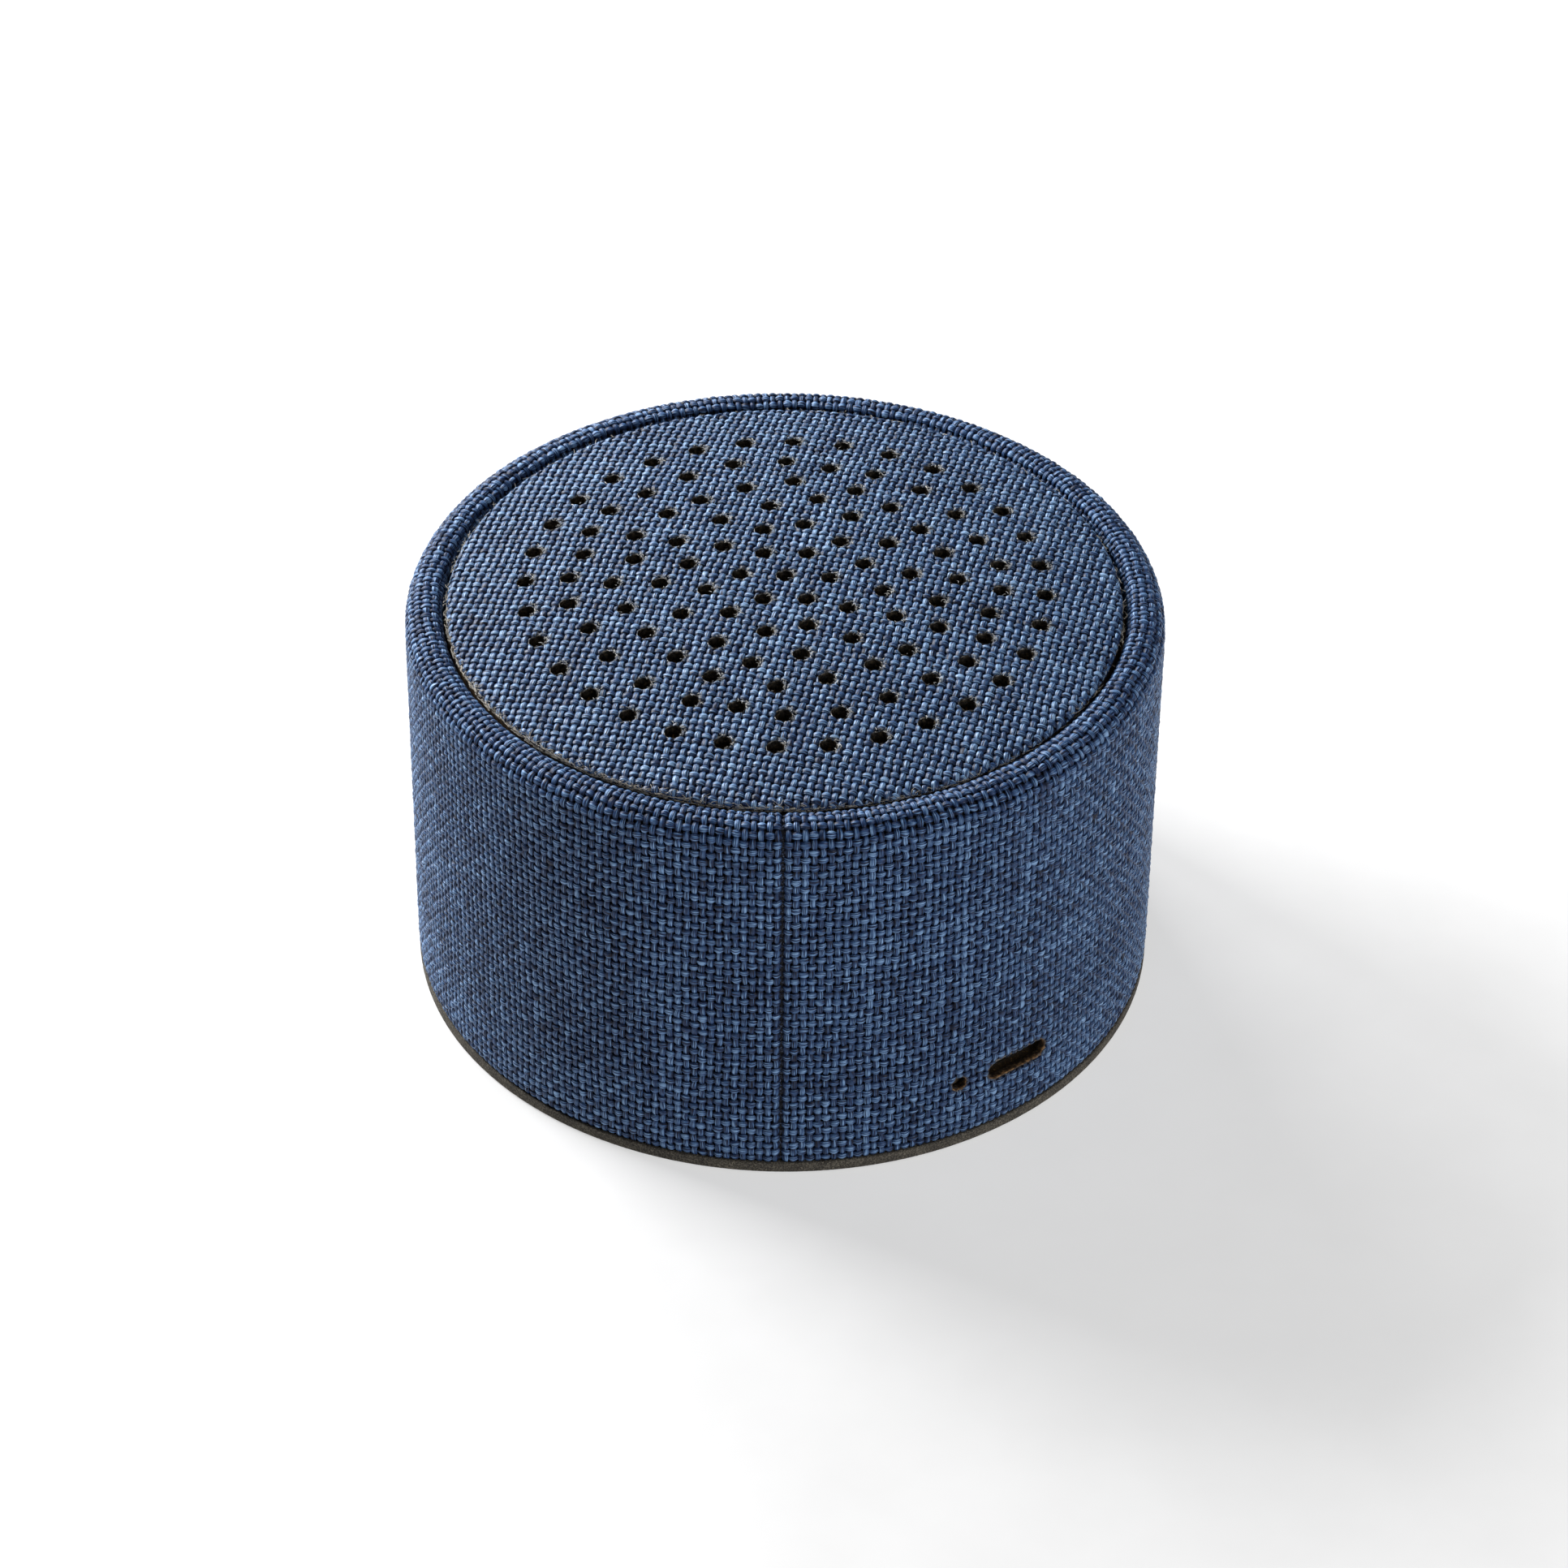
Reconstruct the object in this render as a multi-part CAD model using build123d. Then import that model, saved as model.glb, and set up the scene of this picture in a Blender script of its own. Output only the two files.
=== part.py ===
from build123d import *
import math
import os

# A round, fabric-covered portable speaker that plays upwards through a perforated, slightly domed lid.
# Frame: millimetres, +Z up, origin at the centre of the foot pad's underside, cover seam at -Y.
# An azimuth is measured from -Y towards +X, in degrees.

# ---- Outer form ---------------------------------------------------------------------------------
OUTER_R = 42.0
RIM_TOP = 47.75
PAD_T = 1.45
FABRIC_T = 0.8
RIM_OUTER_ROUND = 2.5
RIM_INNER_ROUND = 1.5
GROOVE_R = 37.7
SEAM_GAP = 0.3

# ---- Perforated lid -----------------------------------------------------------------------------
LID_R = 37.25
LID_TOP = 50.93
DOME_R = 233.0
LID_EDGE_ROUND = 0.7
LID_BOARD_T = 3.0
LID_LAND_Z = 44.0
LID_LAND_W = 4.5
TAPE_T = 0.3
SCRIM_R = 32.0
SCRIM_T = 0.25
HOLE_R = 0.88
LID_CENTRE = (-0.05, -0.4)
OUTER_HOLES = 32
OUTER_HOLES_R = 28.63
OUTER_HOLES_TURN = 9.6
# Each ring is the holes of one half turn, as (degrees from +X, radius); the other half repeats them.
HALF_TURNS = [
    [(61.0, 4.9), (119.0, 4.9), (177.0, 4.9)],
    [(16.5, 9.0), (48.0, 9.1), (78.5, 10.3), (105.5, 9.3), (140.5, 8.9), (167.5, 11.0)],
    [(4.5, 13.8), (31.0, 13.2), (58.5, 14.0), (77.0, 15.8), (97.5, 14.0), (123.5, 13.2)]
    + [(150.5, 13.8), (167.5, 17.1)],
    [(2.0, 19.0), (17.5, 18.2), (33.5, 18.0), (50.5, 18.4), (66.0, 19.2), (87.5, 19.3), (104.5, 18.4)]
    + [(122.0, 18.1), (136.5, 18.3), (153.5, 18.7)],
    [(9.5, 24.0), (22.0, 23.0), (35.5, 23.4), (50.5, 23.8), (65.0, 23.6), (77.5, 23.0), (90.0, 23.8)]
    + [(104.5, 24.0), (118.5, 23.4), (132.5, 23.3), (145.0, 24.1), (156.0, 23.8), (167.0, 22.9)]
    + [(178.0, 23.8)],
]

# ---- Body ring ----------------------------------------------------------------------------------
RING_R = OUTER_R - FABRIC_T
LIP_R = GROOVE_R + FABRIC_T
RING_TOP = RIM_TOP - FABRIC_T
LEDGE_Z = LID_LAND_Z - TAPE_T
BAFFLE_BORE_R = 36.6
BORE_R = 35.0
BASE_SEAT_R = 39.6
LED_AZ = 27.8
LED_Z = 8.86
LED_HOLE_R = 0.9
PORT_AZ = 38.5
PORT_Z = 8.74
PORT_SLOT_W = 8.15
PORT_SLOT_H = 2.44
POCKET_FACE = 39.7
POCKET_HALF_W = 5.8
POCKET_Z = (5.6, 11.8)

# ---- Base plate and pad -------------------------------------------------------------------------
PAD_R = 41.9
PAD_ROUND = 0.3
BASE_R = 39.45
BASE_T = 3.0
BASE_TOP = PAD_T + BASE_T
BASE_SCREW_AT = 37.0
BASE_SCREW_ANGLES = (0, 90, 180, 270)
BASE_SCREW_R = 1.25
BASE_SCREW_HEAD_R = 2.2
BASE_SCREW_L = 10.0
RECESS = (2.2, 0.5, 0.6)
CONTROLS_Y = -12.0
CONTROLS_W = 33.0
CONTROLS_H = 13.0

# ---- Circuit board and what is on it --------------------------------------------------------------
USB_H = 2.5
USB_W = 7.5
USB_L = 5.6
USB_WALL = 0.3
USB_FACE = 39.45
USB_REAR = (1.2, 5.4, 1.2)
USB_TONGUE = (4.6, 3.8, 0.55)
PCB_T = 1.2
PCB_TOP = PORT_Z - USB_H / 2
PCB_BOTTOM = PCB_TOP - PCB_T
PCB_R = 34.2
PCB_BACK_Y = 1.5
PCB_TONGUE_HALF_W = 5.3
PCB_TONGUE_END = 38.7
PCB_SCREWS = ((-26.5, -5.5), (26.0, -5.0), (-2.0, -29.0))
PCB_SCREW_R = 0.9
PCB_SCREW_HEAD = (1.9, 1.2)
PCB_SCREW_L = 4.6
PCB_SCREW_SLOT = (2.0, 0.45, 0.5)
POST_R = 2.4
LAMP_SIZE = (1.5, 3.0)
LAMP_TOP = 9.7
PIPE_R = 0.85
PIPE_START = 34.1
PIPE_END = 40.7
RADIO_AT = (11.5, -13.0)
RADIO_SIZE = (17.0, 13.0, 0.8)
SHIELD_AT = (9.5, -13.0)
SHIELD_SIZE = (11.5, 11.0, 2.0)
SHIELD_T = 0.2
CHIP_H = 1.5
AMPLIFIER_AT = (-7.0, -14.0)
AMPLIFIER_SIZE = (5.0, 6.2)
CHARGER_AT = (18.5, -24.0)
CHARGER_SIZE = (3.9, 4.9)
CAPACITORS_AT = ((-5.5, -23.5), (1.5, -22.0))
CAPACITOR_R = 2.5
CAPACITOR_H = 7.0
HEADER_SIZE = (6.4, 5.0, 5.0)
HEADER_WALL = 0.7
HEADER_FLOOR = 1.0
PLUG_SIZE = (4.8, 3.4, 5.2)
BATTERY_PLUG = (-19.0, -6.0)
SPEAKER_PLUG = (-20.0, -17.0)
PLUG_TOP = PCB_TOP + HEADER_FLOOR + PLUG_SIZE[2]

# ---- Controls on the underside --------------------------------------------------------------------
SWITCH_X = -9.0
SWITCH_SIZE = (8.5, 3.6, 3.4)
SWITCH_TRAVEL = 2.0
KNOB_SIZE = (4.4, 3.4)
KNOB_Z = (0.6, 1.25)
KNOB_STEM = (1.7, 1.5)
BUTTON_X = 9.5
BUTTON_R = 3.8
BUTTON_BORE_R = 4.0
BUTTON_FLANGE_R = 4.5
BUTTON_SEAT_R = 4.8
BUTTON_SEAT_Z = 3.2
BUTTON_FLANGE_Z = (3.28, 4.1)
BUTTON_BOTTOM = 0.5
TACT_SIZE = (6.0, 6.0, 1.8)
TACT_PLUNGER_R = 1.65
KNOB_RIBS = (-1.4, -0.7, 0.0, 0.7, 1.4)
BUTTON_DISH_R = 16.0
BUTTON_DISH_DEPTH = 0.25

# ---- Battery --------------------------------------------------------------------------------------
CELL_X = (-16.8, 19.5)
CELL_Y = (3.5, 28.0)
CELL_H = 10.0
CELL_TAPE_T = 0.8
CELL_BOTTOM = BASE_TOP + CELL_TAPE_T
CELL_ROUND = 1.8
CELL_TAPE_INSET = 2.0
GUARD_T = 1.2
GUARD_INSET = 3.0
GUARD_Z = (CELL_BOTTOM + 2.0, CELL_BOTTOM + 8.0)
BATTERY_LEAD_AT = (12.0, 11.5)

# ---- Loudspeaker driver ---------------------------------------------------------------------------
BAFFLE_Z = (37.0, 40.0)
BAFFLE_R = 36.5
BAFFLE_HOLE_R = 20.6
FLANGE_R = 25.0
FLANGE_T = 0.8
EAR_AT = 27.2
EAR_W = 5.6
EAR_INNER = 23.5
EARS = (45, 135, 225, 315)
DRIVER_SCREW_R = 1.15
DRIVER_SCREW_HEAD = (2.0, 1.3)
BASKET_R = 20.0
BASKET_WALL_R = (17.0, 17.8)
BASKET_FLOOR_R = 8.0
BASKET_WINDOW_W = 16.0
SHELF_Z = 33.8
BASKET_FLOOR_Z = 31.0
PLATE_Z = (27.2, 30.2)
MAGNET_Z = (21.2, 27.2)
YOKE_Z = (18.2, 21.2)
POLE_R = 5.9
GAP_R = 7.0
MAGNET_R = 15.5
COIL_R = 6.3
FORMER_T = 0.12
WINDING_T = 0.3
FORMER_Z = (25.2, 36.9)
WINDING_Z = (26.2, 31.2)
CONE_NECK = (6.75, 36.2)
CONE_EDGE = (16.9, 40.65)
CONE_T = 0.35
CAP_R = 7.6
CAP_RISE = 2.2
CAP_T = 0.3
ROLL_R = 1.7
ROLL_AT = 18.9
SURROUND_T = 0.3
SURROUND_Z = FLANGE_T + BAFFLE_Z[1]
SURROUND_R = (16.0, 22.8)
GASKET_R = 20.9
GASKET_T = 1.2
SPIDER_R = (6.6, 16.6, 18.8)
SPIDER_T = 0.3
SPIDER_WAVES = 4
SPIDER_WAVE_H = 0.45
STRIP_T = 1.0
STRIP_W = 10.0
STRIP_Z = (30.5, 36.4)
TAG_T = 0.4
TAG_W = 1.8
TAG_Y = 2.6
TAG_Z = (29.8, 36.0)
TAG_FACE = -BASKET_R - STRIP_T - TAG_T

# ---- Wires ----------------------------------------------------------------------------------------
LEAD_D = 1.1
TINSEL_D = 0.6


def upright(x, y, z_low, z_high, radius):
    """A vertical cylinder between two heights."""
    return Pos(x, y, (z_low + z_high) / 2) * Cylinder(radius, z_high - z_low)


def block(x_span, y_span, z_span):
    """A box given by its two corners' coordinates."""
    spans = (x_span, y_span, z_span)
    centre = [(low + high) / 2 for low, high in spans]
    size = [high - low for low, high in spans]
    return Pos(*centre) * Box(*size)


def centred_block(x, y, size_x, size_y, z_low, z_high):
    """A box centred on a point of the plan, between two heights."""
    return Pos(x, y, (z_low + z_high) / 2) * Box(size_x, size_y, z_high - z_low)


def washer(inner, outer, z_low, z_high):
    """A flat ring."""
    return upright(0, 0, z_low, z_high, outer) - upright(0, 0, z_low - 1, z_high + 1, inner)


def turned(points, rounds=()):
    """A solid of revolution from (radius, height) corners. Each round is (radius, height, fillet)."""
    face = make_face(Polyline(*[(r, 0, z) for r, z in points], close=True))
    for r, z, fillet_r in rounds:
        corner = face.vertices().sort_by_distance((r, 0, z))[0]
        face = fillet(corner, fillet_r)
    return revolve(face, Axis.Z)


def polar(radius, angle):
    """A point of the plan, with the angle measured from +X."""
    return radius * math.cos(math.radians(angle)), radius * math.sin(math.radians(angle))


def outward(azimuth, distance, z):
    """A frame at a point of the wall: its local X points outwards, its local Z up."""
    x, y = polar(distance, azimuth - 90)
    return Pos(x, y, z) * Rot(0, 0, azimuth - 90)


def radial_rod(azimuth, z, radius, start, end):
    """A round rod along a direction that points out from the axis."""
    return outward(azimuth, (start + end) / 2, z) * Rot(0, 90, 0) * Cylinder(radius, end - start)


def port_slot():
    """The stadium-shaped cutter of the charging slot."""
    flat = SlotOverall(PORT_SLOT_W, PORT_SLOT_H)
    cutter = extrude(flat, 8, both=True)
    return outward(PORT_AZ, OUTER_R, PORT_Z) * Rot(0, 0, 90) * Rot(90, 0, 0) * cutter


def led_hole():
    """The cutter of the indicator's hole."""
    return radial_rod(LED_AZ, LED_Z, LED_HOLE_R, BORE_R - 4, OUTER_R + 4)


def dome_z(radius, drop):
    """The height of the lid's dome at a radius, or of the same dome moved down."""
    return LID_TOP - drop - DOME_R + math.sqrt(DOME_R**2 - radius**2)


def dome_arc(drop, start, end):
    """The dome's profile between two radii."""
    points = [(r, 0, dome_z(r, drop)) for r in (start, (start + end) / 2, end)]
    return ThreePointArc(*points)


def dome_band(radius, drop_top, drop_bottom, edge_round=0.0):
    """A domed disc of even thickness, with an upright edge that may be rounded at the top."""
    outline = [
        dome_arc(drop_top, 0, radius),
        Line((radius, 0, dome_z(radius, drop_top)), (radius, 0, dome_z(radius, drop_bottom))),
        dome_arc(drop_bottom, radius, 0),
        Line((0, 0, dome_z(0, drop_bottom)), (0, 0, dome_z(0, drop_top))),
    ]
    face = make_face(outline)
    if edge_round > 0:
        corner = face.vertices().sort_by_distance((radius, 0, dome_z(radius, drop_top)))[0]
        face = fillet(corner, edge_round)
    return revolve(face, Axis.Z)


def hole_places():
    """The (x, y) of every hole: the centre, five rings of two half turns, and an even outer ring."""
    places = [(0.0, 0.0)]
    for half in HALF_TURNS:
        places += [polar(radius, angle + turn) for turn in (0, 180) for angle, radius in half]
    for i in range(OUTER_HOLES):
        places.append(polar(OUTER_HOLES_R, OUTER_HOLES_TURN + i * 360 / OUTER_HOLES))
    return places


def on_lid(solid):
    """Moves a piece of the lid to where the lid is bonded, a little nearer the seam than the axis."""
    return Pos(*LID_CENTRE, 0) * solid


def hole_cutters():
    """One upright cutter for each hole of the lid."""
    return [upright(x, y, LID_LAND_Z - 2, LID_TOP + 2, HOLE_R) for x, y in hole_places()]


def lead_path(points):
    """A wire's centreline: straight runs joined by arcs as large as the runs allow."""
    vectors = [Vector(*p) for p in points]
    radii = []
    for before, here, after in zip(vectors, vectors[1:], vectors[2:]):
        turn = (here - before).get_angle(after - here)
        shorter = min((here - before).length, (after - here).length)
        radii.append(0.45 * shorter / math.tan(math.radians(turn / 2)))
    return FilletPolyline(*points, radius=radii)


def wire(points, diameter):
    """A round wire along a route."""
    path = lead_path(points)
    section = Plane(origin=path @ 0, z_dir=path % 0) * Circle(diameter / 2)
    return sweep(section, path=path)


# ---- Shell ----------------------------------------------------------------------------------------
def body_ring():
    """The fibreboard tube: lip and ledge for the lid, step for the baffle, seat for the base."""
    solid = turned(
        [
            (BASE_SEAT_R, PAD_T),
            (RING_R, PAD_T),
            (RING_R, RING_TOP),
            (LIP_R, RING_TOP),
            (LIP_R, LEDGE_Z),
            (BAFFLE_BORE_R, LEDGE_Z),
            (BAFFLE_BORE_R, BAFFLE_Z[0]),
            (BORE_R, BAFFLE_Z[0]),
            (BORE_R, BASE_TOP),
            (BASE_SEAT_R, BASE_TOP),
        ],
        [
            (RING_R, RING_TOP, RIM_OUTER_ROUND - FABRIC_T),
            (LIP_R, RING_TOP, RIM_INNER_ROUND - FABRIC_T),
        ],
    )
    depth = 8.0
    pocket_h = POCKET_Z[1] - POCKET_Z[0]
    pocket_z = sum(POCKET_Z) / 2
    pocket = outward(PORT_AZ, POCKET_FACE - depth / 2, pocket_z) * Box(depth, 2 * POCKET_HALF_W, pocket_h)
    solid -= pocket
    solid -= port_slot()
    solid -= led_hole()
    for angle in BASE_SCREW_ANGLES:
        x, y = polar(BASE_SCREW_AT, angle)
        solid -= upright(x, y, BASE_TOP - 1, PAD_T + BASE_SCREW_L + 0.5, BASE_SCREW_R - 0.2)
    return solid


def side_fabric():
    """The woven cover: round the ring, over the rim and down into the groove, with one butt seam."""
    solid = turned(
        [
            (RING_R, PAD_T),
            (OUTER_R, PAD_T),
            (OUTER_R, RIM_TOP),
            (GROOVE_R, RIM_TOP),
            (GROOVE_R, LEDGE_Z),
            (LIP_R, LEDGE_Z),
            (LIP_R, RING_TOP),
            (RING_R, RING_TOP),
        ],
        [
            (OUTER_R, RIM_TOP, RIM_OUTER_ROUND),
            (GROOVE_R, RIM_TOP, RIM_INNER_ROUND),
            (LIP_R, RING_TOP, RIM_INNER_ROUND - FABRIC_T),
            (RING_R, RING_TOP, RIM_OUTER_ROUND - FABRIC_T),
        ],
    )
    solid -= port_slot()
    solid -= led_hole()
    solid -= block((-SEAM_GAP / 2, SEAM_GAP / 2), (-OUTER_R - 1, -GROOVE_R + 1), (0, RIM_TOP + 1))
    return solid


def top_fabric():
    """The disc of cover fabric bonded to the lid and cut through with it."""
    return on_lid(dome_band(LID_R, 0, FABRIC_T, LID_EDGE_ROUND) - hole_cutters())


def lid_board():
    """The domed, perforated board, with a flat land round its underside."""
    land_in = LID_R - LID_LAND_W
    under = FABRIC_T + LID_BOARD_T
    outline = [
        dome_arc(FABRIC_T, 0, LID_R),
        Line((LID_R, 0, dome_z(LID_R, FABRIC_T)), (LID_R, 0, LID_LAND_Z)),
        Line((LID_R, 0, LID_LAND_Z), (land_in, 0, LID_LAND_Z)),
        Line((land_in, 0, LID_LAND_Z), (land_in, 0, dome_z(land_in, under))),
        dome_arc(under, land_in, 0),
        Line((0, 0, dome_z(0, under)), (0, 0, dome_z(0, FABRIC_T))),
    ]
    return on_lid(revolve(make_face(outline), Axis.Z) - hole_cutters())


def dust_scrim():
    """The thin acoustic cloth glued up under the lid."""
    under = FABRIC_T + LID_BOARD_T
    return on_lid(dome_band(SCRIM_R, under, under + SCRIM_T))


def lid_tape():
    """The double-sided ring that bonds the lid to the ring's ledge."""
    return washer(BAFFLE_BORE_R + 0.05, LID_R, LEDGE_Z, LID_LAND_Z)


def foot_pad():
    """The soft pad that the speaker stands on, with a window for the controls."""
    solid = upright(0, 0, 0, PAD_T, PAD_R)
    solid = fillet(solid.edges().filter_by(GeomType.CIRCLE).group_by(Axis.Z)[0], PAD_ROUND)
    window = Pos(0, CONTROLS_Y, 0) * extrude(SlotOverall(CONTROLS_W, CONTROLS_H), 2 * PAD_T, both=True)
    return solid - window


def base_plate():
    """The moulded base: board posts on top, countersunk screw holes, openings for the controls."""
    solid = upright(0, 0, PAD_T, BASE_TOP, BASE_R)
    for x, y in PCB_SCREWS:
        solid += upright(x, y, BASE_TOP, PCB_BOTTOM, POST_R)
    for x, y in PCB_SCREWS:
        solid -= upright(x, y, PAD_T + 1.0, PCB_BOTTOM + 1, PCB_SCREW_R - 0.15)
    for angle in BASE_SCREW_ANGLES:
        solid -= base_screw_shape(angle, 0.15)
    solid -= centred_block(SWITCH_X, CONTROLS_Y, SWITCH_SIZE[0] + 0.6, SWITCH_SIZE[1] + 0.6, 0, 9)
    solid -= upright(BUTTON_X, CONTROLS_Y, 0, 9, BUTTON_BORE_R)
    solid -= upright(BUTTON_X, CONTROLS_Y, BUTTON_SEAT_Z, 9, BUTTON_SEAT_R)
    return solid


def base_screw_shape(angle, gap=0.0):
    """A countersunk screw from the underside, or with a gap the hole that it passes."""
    x, y = polar(BASE_SCREW_AT, angle)
    head_h = BASE_SCREW_HEAD_R - BASE_SCREW_R
    head = Pos(x, y, PAD_T + head_h / 2) * Cone(BASE_SCREW_HEAD_R + gap, BASE_SCREW_R + gap, head_h)
    return head + upright(x, y, PAD_T, PAD_T + BASE_SCREW_L, BASE_SCREW_R + gap)


def cross_recess(x, y, z_low, z_high):
    """The cutter of a screw head's cross recess."""
    length, width, _ = RECESS
    across = centred_block(x, y, length, width, z_low, z_high)
    return across + centred_block(x, y, width, length, z_low, z_high)


def base_screws():
    """The four wood screws that hold the base plate in the ring, each with a cross recess."""
    screws = []
    for angle in BASE_SCREW_ANGLES:
        x, y = polar(BASE_SCREW_AT, angle)
        screws.append(base_screw_shape(angle) - cross_recess(x, y, PAD_T - 1, PAD_T + RECESS[2]))
    return Compound(children=screws)


# ---- Controls -------------------------------------------------------------------------------------
def power_switch_housing():
    """The slide switch's body, soldered under the board, with the slot that its stem runs in."""
    bottom = PCB_BOTTOM - SWITCH_SIZE[2]
    solid = centred_block(SWITCH_X, CONTROLS_Y, SWITCH_SIZE[0], SWITCH_SIZE[1], bottom, PCB_BOTTOM)
    slot_w = KNOB_STEM[0] + SWITCH_TRAVEL + 0.4
    return solid - centred_block(SWITCH_X, CONTROLS_Y, slot_w, KNOB_STEM[1] + 0.2, bottom - 1, bottom + 2.0)


def power_switch_knob():
    """The sliding stem and its ribbed finger cap, at the off end of the travel."""
    x = SWITCH_X - SWITCH_TRAVEL / 2
    bottom = PCB_BOTTOM - SWITCH_SIZE[2]
    solid = centred_block(x, CONTROLS_Y, KNOB_STEM[0], KNOB_STEM[1], KNOB_Z[0], bottom + 1.8)
    cap = centred_block(x, CONTROLS_Y, KNOB_SIZE[0], KNOB_SIZE[1], KNOB_Z[0], KNOB_Z[1])
    solid += fillet(cap.edges().filter_by(Axis.Z), 0.5)
    for step in KNOB_RIBS:
        solid += centred_block(x + step, CONTROLS_Y, 0.3, KNOB_SIZE[1] - 0.8, KNOB_Z[0] - 0.2, KNOB_Z[0])
    return solid


def button_cap():
    """The moulded key: dished face, stem, and the flange that holds it in the base plate."""
    solid = turned(
        [
            (0, BUTTON_BOTTOM),
            (BUTTON_R, BUTTON_BOTTOM),
            (BUTTON_R, BUTTON_FLANGE_Z[0]),
            (BUTTON_FLANGE_R, BUTTON_FLANGE_Z[0]),
            (BUTTON_FLANGE_R, BUTTON_FLANGE_Z[1]),
            (0, BUTTON_FLANGE_Z[1]),
        ],
        [(BUTTON_R, BUTTON_BOTTOM, 0.4)],
    )
    dish = Pos(0, 0, BUTTON_BOTTOM + BUTTON_DISH_DEPTH - BUTTON_DISH_R) * Sphere(BUTTON_DISH_R)
    return Pos(BUTTON_X, CONTROLS_Y, 0) * (solid - dish)


def tact_switch_housing():
    """The push switch's body under the board."""
    bottom = PCB_BOTTOM - TACT_SIZE[2]
    solid = centred_block(BUTTON_X, CONTROLS_Y, TACT_SIZE[0], TACT_SIZE[1], bottom, PCB_BOTTOM)
    return solid - upright(BUTTON_X, CONTROLS_Y, bottom - 1, bottom + 1.4, TACT_PLUNGER_R + 0.1)


def tact_switch_plunger():
    """The push switch's plunger, which rests on the button cap."""
    bottom = PCB_BOTTOM - TACT_SIZE[2]
    return upright(BUTTON_X, CONTROLS_Y, BUTTON_FLANGE_Z[1], bottom + 1.0, TACT_PLUNGER_R)


# ---- Circuit board --------------------------------------------------------------------------------
def circuit_board():
    """The board: half a disc with a tongue that carries the charging socket into the wall's pocket."""
    solid = upright(0, 0, PCB_BOTTOM, PCB_TOP, PCB_R)
    solid -= block((-PCB_R - 1, PCB_R + 1), (PCB_BACK_Y, PCB_R + 1), (PCB_BOTTOM - 1, PCB_TOP + 1))
    tongue_l = 8.0
    middle = outward(PORT_AZ, PCB_TONGUE_END - tongue_l / 2, (PCB_BOTTOM + PCB_TOP) / 2)
    solid += middle * Box(tongue_l, 2 * PCB_TONGUE_HALF_W, PCB_T)
    for x, y in PCB_SCREWS:
        solid -= upright(x, y, PCB_BOTTOM - 1, PCB_TOP + 1, PCB_SCREW_R + 0.2)
    return solid


def board_screws():
    """The pan-head screws that hold the board on its posts."""
    head_r, head_h = PCB_SCREW_HEAD
    slot_l, slot_w, slot_h = PCB_SCREW_SLOT
    top = PCB_TOP + head_h
    screws = []
    for x, y in PCB_SCREWS:
        head = upright(x, y, PCB_TOP, top, head_r)
        head = fillet(head.edges().filter_by(GeomType.CIRCLE).group_by(Axis.Z)[-1], 0.5)
        screw = head + upright(x, y, PCB_TOP - PCB_SCREW_L, PCB_TOP, PCB_SCREW_R)
        screws.append(screw - centred_block(x, y, slot_l, slot_w, top - slot_h, top + 1))
    return Compound(children=screws)


def usb_socket_shell():
    """The charging socket's folded metal shell, open at the front, with its two lower chamfers."""
    middle = USB_FACE - USB_L / 2
    outside = Box(USB_L, USB_W, USB_H)
    outside = chamfer(outside.edges().filter_by(Axis.X).group_by(Axis.Z)[0], 0.6)
    inside = Pos(USB_WALL, 0, 0) * Box(USB_L, USB_W - 2 * USB_WALL, USB_H - 2 * USB_WALL)
    inside = chamfer(inside.edges().filter_by(Axis.X).group_by(Axis.Z)[0], 0.5)
    return outward(PORT_AZ, middle, PORT_Z) * (outside - inside)


def usb_socket_tongue():
    """The charging socket's insulator: the rear block and the contact tongue."""
    back = USB_FACE - USB_L + USB_WALL
    rear = outward(PORT_AZ, back + USB_REAR[0] / 2, PORT_Z + 0.25) * Box(*USB_REAR)
    tongue = outward(PORT_AZ, back + USB_TONGUE[0] / 2, PORT_Z + 0.35) * Box(*USB_TONGUE)
    return rear + tongue


def led_lamp():
    """The side-looking indicator lamp on the board."""
    depth, width = LAMP_SIZE
    middle = outward(LED_AZ, PIPE_START - depth / 2, (PCB_TOP + LAMP_TOP) / 2)
    return middle * Box(depth, width, LAMP_TOP - PCB_TOP)


def light_pipe():
    """The clear rod that carries the lamp's light out through the wall."""
    rod = radial_rod(LED_AZ, LED_Z, PIPE_R, PIPE_START, PIPE_END)
    return fillet(rod.edges().filter_by(GeomType.CIRCLE), 0.2)


def radio_module():
    """The radio's own small board."""
    size_x, size_y, height = RADIO_SIZE
    return centred_block(*RADIO_AT, size_x, size_y, PCB_TOP, PCB_TOP + height)


def radio_shield():
    """The pressed can over the radio."""
    size_x, size_y, height = SHIELD_SIZE
    low = PCB_TOP + RADIO_SIZE[2]
    can = centred_block(*SHIELD_AT, size_x, size_y, low, low + height)
    can = fillet(can.edges().filter_by(Axis.Z), 0.6)
    inside_x = size_x - 2 * SHIELD_T
    inside_y = size_y - 2 * SHIELD_T
    return can - centred_block(*SHIELD_AT, inside_x, inside_y, PCB_TOP, low + height - SHIELD_T)


def amplifier_chip():
    """The amplifier chip."""
    return centred_block(*AMPLIFIER_AT, *AMPLIFIER_SIZE, PCB_TOP, PCB_TOP + CHIP_H)


def charger_chip():
    """The charging controller chip."""
    return centred_block(*CHARGER_AT, *CHARGER_SIZE, PCB_TOP, PCB_TOP + CHIP_H)


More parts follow.
